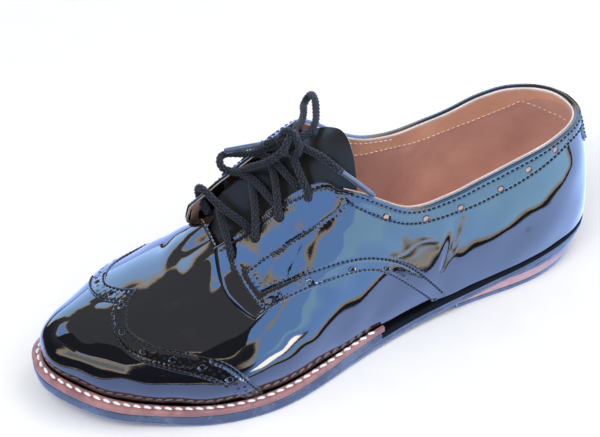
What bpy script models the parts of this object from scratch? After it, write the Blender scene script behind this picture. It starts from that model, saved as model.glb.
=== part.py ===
"""Lace-up flat, left shoe: an assembly of separate pieces around one last.

Units are metres, +Z up. The toe points to -X, the heel to +X, the outer (lateral)
side to -Y and the inner (medial) side to +Y. The shoe stands on Z = 0.
Tables are in millimetres, measured along the shoe from the back of the heel.
"""
import math

import bmesh
import bpy
import numpy as np
from mathutils import Vector

MM = 0.001
GAP = 0.3 * MM                # clearance between pieces that touch
MERGE = 0.02 * MM             # points nearer than this are one point
LENGTH = 243.0 * MM           # last bottom, heel to toe
FRAME_STATION = 124.2 * MM    # station that lies at X = 0
FRAME_OFFSET = 2.5 * MM       # lateral offset that lies at Y = 0

# One row per station of the last. lateral, medial: half widths of the last bottom.
# feather: height of the sole's top. bulge: height of the widest place above the feather.
# crest, ridge: height and lateral offset of the last's top line. full_lateral, full_medial:
# squareness of each half section. ledge: how far the sole stands out. tread: height of the
# sole's bottom.
LAST_COLUMNS = ("station", "lateral", "medial", "feather", "bulge", "crest", "ridge",
                "full_lateral", "full_medial", "ledge", "tread")
LAST_ROWS = (
    (0, 25.5, 22.0, 19.0, 23.0, 104.5, 0.5, 0.00, 0.00, 0.9, 14.0),
    (28, 24.8, 26.2, 16.5, 22.7, 103.5, 0.8, 0.00, 0.00, 1.2, 11.0),
    (60, 25.0, 26.2, 12.1, 24.1, 106.0, 0.4, 0.00, 0.00, 1.5, 5.1),
    (92, 28.4, 24.3, 9.8, 22.1, 107.0, -0.2, -0.03, -0.10, 2.0, 2.1),
    (125, 36.0, 27.7, 7.5, 19.0, 89.3, -1.9, -0.08, 1.05, 3.5, 0.3),
    (157, 43.2, 35.4, 5.9, 14.6, 60.9, -3.9, -0.05, 0.10, 5.8, -0.3),
    (185, 40.6, 38.1, 6.0, 12.0, 47.2, -2.9, 0.02, 0.02, 6.1, -0.1),
    (208, 34.0, 36.3, 7.7, 10.2, 43.2, -2.4, 0.06, 0.06, 6.3, 2.4),
    (225, 28.7, 31.1, 10.7, 7.9, 38.4, -3.4, 0.09, 0.09, 6.6, 5.1),
    (243, 17.6, 24.0, 16.5, 6.6, 33.8, -5.0, 0.10, 0.10, 6.4, 9.6),
)
HEEL_ROUND = (45.0 * MM, 2.3)     # length and exponent of the rounding of the heel end
TOE_ROUND = (70.0 * MM, 2.6)      # the same for the toe
SPINE_HEEL = 60.0 * MM            # where the sections start to fan around the heel
SPINE_TOE = 80.0 * MM             # length over which they fan around the toe

# Height of the collar above the floor, on each side.
COLLAR_COLUMNS = ("station", "lateral", "medial")
COLLAR_ROWS = (
    (0, 74.5, 74.5),
    (25, 72.7, 74.1),
    (50, 68.6, 66.5),
    (72, 65.0, 66.6),
    (90, 68.6, 71.2),
    (104, 79.4, 80.6),
    (116, 85.2, 88.9),
)
# Half of the gap between the facings.
THROAT_ROWS = ((100, 18.0), (112, 17.0), (124, 15.0), (140, 11.5), (152, 9.0), (165, 5.5))
THROAT_FRONT = 165.0 * MM
THROAT_START = 100.0 * MM
THROAT_ROUND = 0.05               # rounding of the facing's top corner, radians
COLLAR_END = 116.0 * MM           # past this station the facing's edge alone counts
COLLAR_CLIMB = 60.0               # radians per metre that the collar's line rises there

WALL = 2.0 * MM
SOLE_DRAFT = 0.3 * MM             # the sole is this much narrower at its bottom
SOLE_BEVEL = 0.7 * MM
WELT_THICKNESS = 2.8 * MM
WELT_BEVEL = 0.4 * MM
WELT_CLEARANCE = 1.5 * GAP        # from the upper, measured level at the welt's top
WELT_INSET = 0.2 * MM             # from the sole's edge
WELT_END = 105.0 * MM             # station where the welt stops at the waist
INSOLE_THICKNESS = 3.0 * MM
INSOLE_INSET = 2.4 * MM
TONGUE_THICKNESS = 1.6 * MM
TONGUE_DEPTH = WALL + 1.0 * MM    # below the last's surface
HEEL_BREAST = 68.0 * MM
HEEL_HOLLOW = 2.0 * MM            # curve of the breast
HEEL_UNDERCUT = 7.6 * MM          # slope of the heel's back, over its height
HEEL_TAPER = 0.05                 # slope of the heel's sides
HEEL_SETBACK = 0.8 * MM           # from the sole's edge
HEEL_HEIGHT = 14.0 * MM
TOP_PIECE = 2.7 * MM

LACE = 3.0 * MM
LACE_HEIGHT = LACE / 2 + 0.7 * MM    # of a crossing's middle line above the last's surface
LACE_STEP = 1.5 * LACE            # between the points of a tube
EYELETS = (160.5, 149.0, 138.0, 126.0)   # stations of the eyelets, front to back
EYELET_REACH = 19.0 * MM          # from the ridge to an eyelet
AGLET_LENGTH = 18.5 * MM
AGLET_WIDTH = 3.0 * MM
KNOT = (126.3, -2.5, 96.1)        # its centre: station, offset, height
KNOT_RADIUS = 4.7 * MM
KNOT_LEAD = 2.0 * MM              # straight stretch of each strand at the knot

# Each strand's route: the direction in which it leaves the knot, then points in
# millimetres (station, offset, height), and for a loop the direction in which it comes back.
LOOP_A = dict(leaves=(-0.93, -0.28, -0.26),
              points=((114, -8, 96), (110.5, -15, 96), (108, -23, 96), (107.3, -29, 94.4),
                      (108.2, -32.5, 90.8), (110.6, -30.5, 89.8), (112.8, -25, 91.4),
                      (118, -14, 94)),
              returns=(-0.62, -0.76, 0.20))
LOOP_B = dict(leaves=(0.75, 0.15, -0.64),
              points=((136.7, -4, 87.7), (142.8, -11, 81.5), (147.5, -17.5, 76.2), (151.5, -20.5, 76.6),
                      (152, -24, 77.5), (149.6, -27.6, 77.8), (144.6, -25, 78.8), (140, -19.5, 81.4),
                      (134.8, -12.2, 87.8), (131.4, -9.2, 90)),
              returns=(0.30, -0.62, -0.72))
END_A = dict(leaves=(0.70, -0.71, -0.05), points=())
END_B = dict(leaves=(-0.71, 0.58, -0.40), points=((119.9, 4, 93.2), (116.9, 10, 93.1)))
# The aglets: where each starts, and the direction in which it points.
AGLET_A = dict(start=(135.1, -10.3, 92), direction=(0.82, -0.49, -0.28))
AGLET_B = dict(start=(112.7, 16.5, 90.1), direction=(-0.61, 0.50, -0.62))
# The last crossings run from the top eyelets to the knot: direction at the knot, then points.
TIE_LATERAL = dict(leaves=(0.0, 0.85, -0.53), offset=10.0)
TIE_MEDIAL = dict(leaves=(-0.42, -0.78, -0.46), offset=-13.0)


# ---------------------------------------------------------------- the last

def spline(stations, values):
    """A smooth curve through a table's rows, straight at both ends."""
    xs = np.asarray(stations, float)
    ys = np.asarray(values, float)
    count = len(xs)
    step = np.diff(xs)
    matrix = np.eye(count)
    right = np.zeros(count)
    for i in range(1, count - 1):
        matrix[i, i - 1:i + 2] = step[i - 1], 2 * (step[i - 1] + step[i]), step[i]
        right[i] = 6 * ((ys[i + 1] - ys[i]) / step[i] - (ys[i] - ys[i - 1]) / step[i - 1])
    bend = np.linalg.solve(matrix, right)

    def curve(x):
        x = np.asarray(x, float)
        k = np.clip(np.searchsorted(xs, x) - 1, 0, count - 2)
        left, after, h = xs[k + 1] - x, x - xs[k], step[k]
        cubic = (bend[k] * left ** 3 + bend[k + 1] * after ** 3) / (6 * h)
        return cubic + (ys[k] / h - bend[k] * h / 6) * left + (ys[k + 1] / h - bend[k + 1] * h / 6) * after
    return curve


def table(columns, rows, unitless=()):
    """One spline per named column, in metres."""
    values = np.array(rows, float)
    stations = values[:, 0] * MM
    return {name: spline(stations, values[:, i] * (1.0 if name in unitless else MM))
            for i, name in enumerate(columns) if i}


LAST = table(LAST_COLUMNS, LAST_ROWS, unitless=("full_lateral", "full_medial"))
COLLAR = table(COLLAR_COLUMNS, COLLAR_ROWS)
THROAT = table(("station", "half_gap"), THROAT_ROWS)
LATERAL, MEDIAL = 1, -1


def end_rounding(s):
    """Factor on the width that closes the outline at the heel and the toe."""
    heel = np.clip(1 - s / HEEL_ROUND[0], 0, 1)
    toe = np.clip(1 - (LENGTH - s) / TOE_ROUND[0], 0, 1)
    return ((1 - heel ** HEEL_ROUND[1]) ** (1 / HEEL_ROUND[1])
            * (1 - toe ** TOE_ROUND[1]) ** (1 / TOE_ROUND[1]))


def outline(s, side):
    """Lateral offset of the last bottom's edge at a station."""
    middle = (LAST["lateral"](s) - LAST["medial"](s)) / 2
    half = (LAST["lateral"](s) + LAST["medial"](s)) / 2
    return middle + side * half * end_rounding(s)


def spine(s):
    """Station on the top line that the section through an outline point goes to."""
    heel = np.clip(1 - s / SPINE_HEEL, 0, 1)
    toe = np.clip(1 - (LENGTH - s) / SPINE_TOE, 0, 1)
    bent = np.where(s < SPINE_HEEL, SPINE_HEEL * (1 - heel + heel ** 3 / 3), s)
    return np.where(toe > 0, LENGTH - SPINE_TOE + SPINE_TOE * (toe - toe ** 3 / 3), bent)


def section(s, side):
    """The numbers of one half section: centre, direction, radii and first angle."""
    s = np.asarray(s, float)
    centre = spine(s)
    ridge = LAST["ridge"](centre)
    along = s - centre
    across = outline(s, side) - ridge
    reach = np.hypot(along, across)
    widest = LAST["feather"](s) + LAST["bulge"](s)
    rise = LAST["crest"](centre) - widest
    fullness = LAST["full_lateral" if side == LATERAL else "full_medial"](centre)
    first = -np.arcsin((LAST["bulge"](s) - GAP) / rise)
    return dict(centre=centre, ridge=ridge, along=along / reach, across=across / reach, widest=widest,
                rise=rise, fullness=fullness, first=first, radius=reach / np.cos(first))


def section_reach(sec, angle):
    """Distance of a section's point from its centre line: an ellipse, fuller above its widest place."""
    return sec["radius"] * np.cos(angle) * (1 + sec["fullness"] * np.maximum(np.sin(angle), 0) ** 2)


def last_point(s, side, angle):
    """Station, lateral offset and height of a point of the last's surface."""
    sec = section(s, side)
    reach = section_reach(sec, angle)
    return np.stack([sec["centre"] + reach * sec["along"], sec["ridge"] + reach * sec["across"],
                     sec["widest"] + sec["rise"] * np.sin(angle)], -1)


def edge_angle(s, side):
    """Where the upper ends: at the collar's height, or at the facing's edge."""
    sec = section(s, side)
    height = COLLAR["lateral" if side == LATERAL else "medial"](np.minimum(s, COLLAR_END))
    collar = np.arcsin(np.clip((height - sec["widest"]) / sec["rise"], -1, 0.999))
    gap = THROAT["half_gap"](np.maximum(s, THROAT_START)) * np.clip(s / THROAT_START, 0, 1) ** 4
    facing = np.arccos(np.clip(gap / (sec["radius"] * (1 + sec["fullness"])), 0, 1))
    collar = collar + np.maximum(s - COLLAR_END, 0) * COLLAR_CLIMB
    soft = np.hypot(collar - facing, THROAT_ROUND)
    return (collar + facing - soft) / 2


def world(points):
    """Shoe coordinates (station, lateral offset, height) to world X, Y, Z."""
    points = np.asarray(points, float)
    return np.stack([FRAME_STATION - points[..., 0], FRAME_OFFSET - points[..., 1], points[..., 2]], -1)


# ---------------------------------------------------------------- objects

for old in list(bpy.data.objects):
    bpy.data.objects.remove(old, do_unlink=True)

PARTS = bpy.data.collections.new("lace_up_flat")
CUTTERS = bpy.data.collections.new("cutters")
bpy.context.scene.collection.children.link(PARTS)
bpy.context.scene.collection.children.link(CUTTERS)
ROOT = bpy.data.objects.new("shoe", None)
PARTS.objects.link(ROOT)


def material(name, colour, roughness, metallic=0.0):
    mat = bpy.data.materials.new(name)
    mat.use_nodes = True
    shader = mat.node_tree.nodes["Principled BSDF"]
    shader.inputs["Base Color"].default_value = (*colour, 1.0)
    shader.inputs["Roughness"].default_value = roughness
    shader.inputs["Metallic"].default_value = metallic
    return mat


PATENT = material("black_patent", (0.006, 0.006, 0.008), 0.05)
RUBBER = material("black_sole", (0.012, 0.013, 0.018), 0.35)
LEATHER = material("tan_leather", (0.42, 0.21, 0.16), 0.55)
SOCK = material("tan_sock", (0.40, 0.20, 0.15), 0.6)
CORD = material("black_cord", (0.02, 0.021, 0.025), 0.6)
PLASTIC = material("clear_tip", (0.35, 0.4, 0.48), 0.15)


def add(name, mesh, mat, collection=PARTS):
    """Link a mesh as an object of the shoe."""
    mesh.materials.append(mat)
    obj = bpy.data.objects.new(name, mesh)
    collection.objects.link(obj)
    if collection is PARTS:
        obj.parent = ROOT
    mesh.shade_smooth()
    mesh.set_sharp_from_angle(angle=math.radians(40))
    return obj


def mesh_from(name, vertices, faces, merge=MERGE):
    """A mesh from lofted points, with the points that meet at a tip merged."""
    mesh = bpy.data.meshes.new(name)
    mesh.from_pydata([tuple(v) for v in vertices], [], faces)
    bm = bmesh.new()
    bm.from_mesh(mesh)
    bmesh.ops.remove_doubles(bm, verts=bm.verts, dist=merge)
    bmesh.ops.dissolve_degenerate(bm, edges=bm.edges, dist=merge / 2)
    bmesh.ops.recalc_face_normals(bm, faces=bm.faces)
    bm.to_mesh(mesh)
    bm.free()
    return mesh


def slab(name, top, bottom, mat):
    """A closed plate between two grids of points, rows along the shoe, columns across it."""
    rows, columns = top.shape[:2]
    vertices = np.concatenate([top.reshape(-1, 3), bottom.reshape(-1, 3)])
    under = rows * columns
    faces = []
    for i in range(rows - 1):
        for j in range(columns - 1):
            a = i * columns + j
            faces.append((a, a + 1, a + columns + 1, a + columns))
            faces.append((under + a, under + a + columns, under + a + columns + 1, under + a + 1))
    border = [i * columns for i in range(rows)]
    border += [(rows - 1) * columns + j for j in range(1, columns)]
    border += [i * columns + columns - 1 for i in range(rows - 2, -1, -1)]
    border += list(range(columns - 2, 0, -1))
    for a, b in zip(border, border[1:] + border[:1]):
        faces.append((a, b, under + b, under + a))
    return add(name, mesh_from(name, world(vertices), faces), mat)


STATION_STEP = 6.0 * MM           # between the shoe's middle stations
HEEL_STEPS = 10
TOE_STEPS = 14


def rounded_range(start, end, steps):
    """Stations from start to end, closing up towards end."""
    return start + (end - start) * np.sin(np.linspace(0, math.pi / 2, steps + 1))


def shoe_stations():
    """Stations along the shoe, close together at the heel and the toe."""
    heel = rounded_range(HEEL_ROUND[0], 0, HEEL_STEPS)[::-1]
    middle = np.arange(HEEL_ROUND[0] + STATION_STEP, THROAT_FRONT - MM, STATION_STEP)
    toe = rounded_range(THROAT_FRONT, LENGTH, TOE_STEPS)
    return np.concatenate([heel, middle, toe])


def sole_edge(s, side, grow):
    """Points of the outline moved outwards by grow, in station and lateral offset."""
    step = MERGE
    before = np.clip(s - step, 0, LENGTH)
    after = np.clip(s + step, 0, LENGTH)
    along = after - before
    across = outline(after, side) - outline(before, side)
    size = np.hypot(along, across)
    return np.stack([s - side * grow * across / size, outline(s, side) + side * grow * along / size], -1)


def plate_grid(s, grow, height, columns=3):
    """Grid of points across the shoe, edge to edge, level across at each station."""
    lateral = sole_edge(s, LATERAL, grow)
    medial = sole_edge(s, MEDIAL, grow)
    grow = np.broadcast_to(grow, s.shape)
    for end, station, direction in ((0, 0.0, -1), (-1, LENGTH, 1)):
        if abs(s[end] - station) < MERGE:
            tip = (station + direction * grow[end], outline(station, LATERAL))
            lateral[end] = medial[end] = tip
    share = np.linspace(0, 1, columns)[None, :, None]
    plan = lateral[:, None] * (1 - share) + medial[:, None] * share
    level = np.broadcast_to(height(s)[:, None], plan.shape[:2])
    return np.concatenate([plan, level[..., None]], -1)


# ---------------------------------------------------------------- sole and heel

def tread_height(s):
    """Bottom of the sole: curved under the arch and the toe, flat on the floor at the ball."""
    return np.maximum(LAST["tread"](np.clip(s, 0, LENGTH)), 0.0)


def sole_top(s):
    return LAST["feather"](np.clip(s, 0, LENGTH))


def make_outsole():
    s = shoe_stations()
    ledge = LAST["ledge"](s)
    top = plate_grid(s, ledge, sole_top)
    bottom = plate_grid(s, ledge - SOLE_DRAFT, tread_height)
    obj = slab("outsole", top, bottom, RUBBER)
    bevel = obj.modifiers.new("soft_edge", "BEVEL")
    bevel.width = SOLE_BEVEL
    bevel.segments = 2
    bevel.limit_method = "ANGLE"
    bevel.angle_limit = math.radians(50)


def make_welt():
    """A strip around the forefoot: four corners of its section at each station."""
    s = shoe_stations()
    s = s[s > WELT_END - 0.1 * MM]
    ring = []
    for side, stations in ((LATERAL, s), (MEDIAL, s[-2::-1])):
        sec = section(stations, side)
        top = sole_top(stations) + GAP + WELT_THICKNESS
        angle = np.arcsin((top - sec["widest"]) / sec["rise"])
        upper_side = last_point(stations, side, angle)[:, :2]
        feet = np.stack([stations, outline(stations, side)], -1)
        outward = sole_edge(stations, side, MM) - feet
        outward[stations > LENGTH - MERGE] = (MM, 0.0)
        outward /= np.linalg.norm(outward, axis=1)[:, None]
        inner = upper_side + outward * WELT_CLEARANCE
        outer = feet + outward * (LAST["ledge"](stations) - WELT_INSET)[:, None]
        for a, b, low in zip(inner, outer, sole_top(stations) + GAP):
            high = low + WELT_THICKNESS
            ring.append([(*a, low), (*b, low), (*b, high), (*a, high)])
    ring = np.array(ring)
    count = len(ring)
    faces = [(0, 1, 2, 3), tuple(4 * (count - 1) + k for k in (3, 2, 1, 0))]
    for i in range(count - 1):
        for k in range(4):
            after = (k + 1) % 4
            faces.append((4 * i + k, 4 * i + 4 + k, 4 * i + 4 + after, 4 * i + after))
    obj = add("welt", mesh_from("welt", world(ring.reshape(-1, 3)), faces), LEATHER)
    bevel = obj.modifiers.new("soft_edge", "BEVEL")
    bevel.width = WELT_BEVEL
    bevel.segments = 1
    bevel.limit_method = "ANGLE"
    bevel.angle_limit = math.radians(50)


def heel_grid(height, columns=7):
    """Grid across the heel at a height: undercut at the back, narrower towards the floor."""
    s = rounded_range(HEEL_BREAST, 0, 12)[::-1]
    ledge = LAST["ledge"](s) - HEEL_SETBACK
    grid = plate_grid(s, ledge, height, columns)
    drop = 1 - grid[..., 2] / HEEL_HEIGHT
    across = np.linspace(-1, 1, columns)
    share = (HEEL_BREAST - grid[..., 0]) / HEEL_BREAST
    grid[..., 0] += HEEL_UNDERCUT * drop * share
    grid[..., 0] -= HEEL_HOLLOW * (1 - across ** 2) * np.linspace(0, 1, len(s))[:, None] ** 4
    grid[..., 1] *= 1 - HEEL_TAPER * drop
    grid[..., 2] = height(grid[..., 0])
    return grid


def make_heel():
    stack_top = heel_grid(lambda s: tread_height(s) - GAP)
    stack_bottom = heel_grid(lambda s: np.full_like(s, TOP_PIECE + GAP))
    slab("heel_stack", stack_top, stack_bottom, LEATHER)
    lift_top = heel_grid(lambda s: np.full_like(s, TOP_PIECE))
    lift_bottom = heel_grid(np.zeros_like)
    slab("top_piece", lift_top, lift_bottom, RUBBER)


def make_insole():
    s = shoe_stations()
    top = plate_grid(s, -INSOLE_INSET, lambda x: sole_top(x) + GAP + INSOLE_THICKNESS)
    bottom = plate_grid(s, -INSOLE_INSET, lambda x: sole_top(x) + GAP)
    slab("insole", top, bottom, SOCK)


# ---------------------------------------------------------------- upper and tongue

WALL_ROWS = 10
ROOF_ROWS = 5
VAMP_ROW = 0.7                    # where the last wall row ends at the toe, from sole to crest
UPPER_MERGE = 0.15 * MM           # the rows' points crowd together at the toe's tip


def make_upper():
    """The wall runs from the sole to the collar and facings; the vamp closes over the toe."""
    s = shoe_stations()
    front = int(np.argmin(abs(s - THROAT_FRONT)))
    columns = [(i, LATERAL) for i in range(len(s))] + [(i, MEDIAL) for i in range(len(s) - 2, 0, -1)]
    vertices, grid, crest = [], [], {}

    def keep(point):
        vertices.append(point)
        return len(vertices) - 1

    for i, side in columns:
        station = s[i]
        start = section(station, side)["first"]
        end = edge_angle(station, side) if i <= front else vamp_edge(station, side, s[front])
        angles = list(np.linspace(start, end, WALL_ROWS + 1))
        if i >= front:
            angles += list(np.linspace(end, math.pi / 2, ROOF_ROWS + 1)[1:-1])
        column = [keep(last_point(station, side, a)) for a in angles]
        if i >= front:
            if i not in crest:
                crest[i] = keep(last_point(station, side, math.pi / 2))
            column.append(crest[i])
        grid.append(column)
    faces = []
    for a, b in zip(grid, grid[1:] + grid[:1]):
        for k in range(min(len(a), len(b)) - 1):
            faces.append((a[k], b[k], b[k + 1], a[k + 1]))
    obj = add("upper", mesh_from("upper", world(vertices), faces, merge=UPPER_MERGE), PATENT)
    wall = obj.modifiers.new("wall", "SOLIDIFY")
    wall.thickness = WALL
    wall.offset = -1
    wall.use_even_offset = True
    wall.use_quality_normals = True


def vamp_edge(s, side, front):
    """Angle that continues the facing's edge over the vamp, so that the rows stay even."""
    share = (s - front) / (LENGTH - front)
    start = section(s, side)["first"]
    at_front = edge_angle(front, side)
    return at_front * (1 - share) + (start + VAMP_ROW * (math.pi / 2 - start)) * share


TONGUE_FRONT = 173.0 * MM
TONGUE_TOP = 105.5 * MM
TONGUE_ROWS = ((173, 13.0, 0.0), (165, 15.5, 0.0), (150, 19.0, 0.5), (130, 21.5, 2.0), (105, 22.0, 5.0))
TONGUE_CORNER = 20.0 * MM         # length over which the top is rounded
TONGUE_DROP = 7.0 * MM            # of the top edge's corners, per unit of width squared
TONGUE_PEAK = 0.45                # share of the half width where the top edge is highest
TONGUE_NARROW = 0.12              # share of the width lost at the top


def surface_at(s, offset):
    """Height of the last's surface above a plan point of the instep."""
    side = LATERAL if offset > LAST["ridge"](s) else MEDIAL
    sec = section(s, side)
    goal = abs(offset - sec["ridge"])
    angle = math.acos(min(1.0, goal / (sec["radius"] * (1 + sec["fullness"]))))
    for _ in range(12):
        angle += (section_reach(sec, angle) - goal) / (sec["radius"] * max(math.sin(angle), 0.2))
        angle = min(angle, math.pi / 2)
    return float(sec["widest"] + sec["rise"] * math.sin(angle))


def below_surface(s, offset, depth):
    """A point under the instep's surface, measured square to it."""
    step = 0.5 * MM
    height = surface_at(s, offset)
    slope_s = (surface_at(s + step, offset) - surface_at(s - step, offset)) / (2 * step)
    slope_o = (surface_at(s, offset + step) - surface_at(s, offset - step)) / (2 * step)
    normal = np.array([-slope_s, -slope_o, 1.0])
    normal /= np.linalg.norm(normal)
    return np.array([s, offset, height]) - normal * depth


def make_tongue():
    """A sheet under the facings, rounded at its top."""
    width = table(("station", "half", "shift"), sorted(TONGUE_ROWS))
    rows, columns = 18, 9
    top = np.zeros((rows, columns, 3))
    bottom = np.zeros((rows, columns, 3))
    for i, s in enumerate(np.linspace(TONGUE_FRONT, TONGUE_TOP, rows)):
        for j, share in enumerate(np.linspace(-1, 1, columns)):
            near_top = max(0.0, 1 - (s - TONGUE_TOP) / TONGUE_CORNER)
            station = s + near_top ** 2 * TONGUE_DROP * (share - TONGUE_PEAK) ** 2
            middle = LAST["ridge"](s) + width["shift"](s)
            offset = float(middle + share * width["half"](s) * (1 - TONGUE_NARROW * near_top ** 3))
            top[i, j] = below_surface(station, offset, TONGUE_DEPTH)
            bottom[i, j] = below_surface(station, offset, TONGUE_DEPTH + TONGUE_THICKNESS)
    slab("tongue", top, bottom, PATENT)


# ---------------------------------------------------------------- lace

def smooth_route(points):
    """Points at even steps along a smooth curve through a route, with straight ends."""
    points = np.asarray(points, float)
    travel = np.concatenate([[0.0], np.cumsum(np.linalg.norm(np.diff(points, axis=0), axis=1))])
    steps = max(1, round((travel[-2] - travel[1]) / LACE_STEP))
    places = np.linspace(travel[1], travel[-2], steps + 1)
    bent = np.stack([spline(travel, points[:, k])(places) for k in range(3)], -1)
    return np.concatenate([points[:1], bent, points[-1:]])


def tube(name, points, collection=PARTS):
    """A round cord with flat ends along a smooth route in shoe coordinates."""
    curve = bpy.data.curves.new(name, "CURVE")
    curve.dimensions = "3D"
    curve.bevel_depth = LACE / 2
    curve.bevel_resolution = 2
    curve.use_fill_caps = True
    places = world(smooth_route(points))
    line = curve.splines.new("POLY")
    line.points.add(len(places) - 1)
    for point, place in zip(line.points, places):
        point.co = (*place, 1.0)
    curve.materials.append(CORD)
    obj = bpy.data.objects.new(name, curve)
    collection.objects.link(obj)
    obj.parent = ROOT
    return obj


def at_knot(direction):
    """Two points of a strand that meets the knot square: further out, then at the knot."""
    direction = np.array(direction) / np.linalg.norm(direction)
    centre = np.array(KNOT) * MM
    near = centre + direction * (KNOT_RADIUS + GAP)
    return [near + direction * KNOT_LEAD, near]


def make_bow():
    """The knot, two loops, two ends and their tips."""
    bm = bmesh.new()
    bmesh.ops.create_uvsphere(bm, u_segments=16, v_segments=10, radius=KNOT_RADIUS)
    mesh = bpy.data.meshes.new("lace_knot")
    bm.to_mesh(mesh)
    bm.free()
    add("lace_knot", mesh, CORD).location = world(np.array(KNOT) * MM)
    for name, loop in (("lace_loop_a", LOOP_A), ("lace_loop_b", LOOP_B)):
        middle = [np.array(point) * MM for point in loop["points"]]
        tube(name, at_knot(loop["leaves"])[::-1] + middle + at_knot(loop["returns"]))
    for letter, end, tip in (("a", END_A, AGLET_A), ("b", END_B, AGLET_B)):
        direction = np.array(tip["direction"]) / np.linalg.norm(tip["direction"])
        start = np.array(tip["start"]) * MM
        middle = [np.array(point) * MM for point in end["points"]]
        last = [start - direction * (GAP + KNOT_LEAD), start - direction * GAP]
        tube("lace_end_" + letter, at_knot(end["leaves"])[::-1] + middle + last)
        make_aglet("aglet_" + letter, world(start), world(start + direction * AGLET_LENGTH))


def make_aglet(name, start, end):
    bm = bmesh.new()
    bmesh.ops.create_cone(bm, cap_ends=True, segments=12, radius1=AGLET_WIDTH / 2,
                          radius2=AGLET_WIDTH / 2, depth=AGLET_LENGTH)
    mesh = bpy.data.meshes.new(name)
    bm.to_mesh(mesh)
    bm.free()
    obj = add(name, mesh, PLASTIC)
    obj.location = (start + end) / 2
    obj.rotation_mode = "QUATERNION"
    obj.rotation_quaternion = Vector(end - start).to_track_quat("Z", "Y")


def eyelet(index, side):
    """Station and lateral offset of an eyelet."""
    s = EYELETS[index] * MM
    return s, float(LAST["ridge"](s)) + side * EYELET_REACH


def crossing(start, end, count=9):
    """Points of a lace laid straight across the instep between two plan points."""
    share = np.linspace(0, 1, count)[:, None]
    plan = np.array(start) * (1 - share) + np.array(end) * share
    return [below_surface(s, offset, -LACE_HEIGHT) for s, offset in plan]


def make_crossings():
    """The bars over the throat, crossing from each eyelet to the next, as one solid."""
    routes = [crossing(eyelet(0, LATERAL), eyelet(0, MEDIAL))]
    for i in range(len(EYELETS) - 1):
        routes.append(crossing(eyelet(i, LATERAL), eyelet(i + 1, MEDIAL)))
        routes.append(crossing(eyelet(i, MEDIAL), eyelet(i + 1, LATERAL)))
    for side, tie in ((LATERAL, TIE_LATERAL), (MEDIAL, TIE_MEDIAL)):
        top = eyelet(-1, side)
        way = crossing(top, (top[0], tie["offset"] * MM), 4)
        routes.append(way + at_knot(tie["leaves"]))
    solids = [solid_from(tube("bar", route, CUTTERS)) for route in routes]
    bars = solids[0]
    for other in solids[1:]:
        join = bars.modifiers.new("join", "BOOLEAN")
        join.operation = "UNION"
        join.solver = "EXACT"
        join.object = other
        other.hide_render = True
        other.display_type = "WIRE"
    bars.name = "lace_bars"
    CUTTERS.objects.unlink(bars)
    PARTS.objects.link(bars)


def solid_from(tube_object):
    """A closed mesh object in place of a tube's curve."""
    bpy.context.view_layer.update()
    evaluated = tube_object.evaluated_get(bpy.context.evaluated_depsgraph_get())
    mesh = bpy.data.meshes.new_from_object(evaluated)
    bm = bmesh.new()
    bm.from_mesh(mesh)
    bmesh.ops.remove_doubles(bm, verts=bm.verts, dist=MERGE)
    bmesh.ops.recalc_face_normals(bm, faces=bm.faces)
    bm.to_mesh(mesh)
    bm.free()
    solid = bpy.data.objects.new(tube_object.name, mesh)
    CUTTERS.objects.link(solid)
    solid.parent = ROOT
    solid.matrix_world = tube_object.matrix_world
    bpy.data.objects.remove(tube_object)
    return solid


make_outsole()
make_welt()
make_heel()
make_insole()
make_upper()
make_tongue()
make_crossings()
make_bow()
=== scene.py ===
"""Lace-up flat, left shoe: black patent upper with a wing cap, open lacing, leather welt, stacked heel.

Metres, +Z up; the toe points to -X and the outer (lateral) side to -Y. Tables are in millimetres and in
the shoe's own measures: station from the back of the heel, offset to the outer side, height.
"""
import math

import bmesh
import bpy
import numpy as np
from mathutils import Matrix, Vector
from mathutils.bvhtree import BVHTree
from mathutils.interpolate import poly_3d_calc
from mathutils.kdtree import KDTree


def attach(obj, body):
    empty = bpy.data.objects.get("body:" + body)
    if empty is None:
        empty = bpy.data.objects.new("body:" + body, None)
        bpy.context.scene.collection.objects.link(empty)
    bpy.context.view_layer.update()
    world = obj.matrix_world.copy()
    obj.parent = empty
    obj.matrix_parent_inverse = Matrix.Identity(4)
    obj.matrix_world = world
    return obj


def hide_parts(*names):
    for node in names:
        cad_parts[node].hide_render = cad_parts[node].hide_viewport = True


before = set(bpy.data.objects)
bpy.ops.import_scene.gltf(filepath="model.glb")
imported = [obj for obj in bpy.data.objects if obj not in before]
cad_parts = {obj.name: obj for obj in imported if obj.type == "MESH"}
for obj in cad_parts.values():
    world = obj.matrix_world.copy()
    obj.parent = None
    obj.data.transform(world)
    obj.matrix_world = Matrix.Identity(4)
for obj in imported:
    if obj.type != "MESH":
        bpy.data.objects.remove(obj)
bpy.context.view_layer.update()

# ---------------------------------------------------------------- insole
# A board covered with a tan leather sock, tacked under the last. Every other piece is pulled over
# the same last, so the last's measures and the ways to lay leather on it are given here.
MM = 0.001
STATION_AT_X0 = 124.2 * MM
OFFSET_AT_Y0 = 2.5 * MM
GAP = 0.3 * MM
LENGTH = 243.0 * MM

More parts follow.
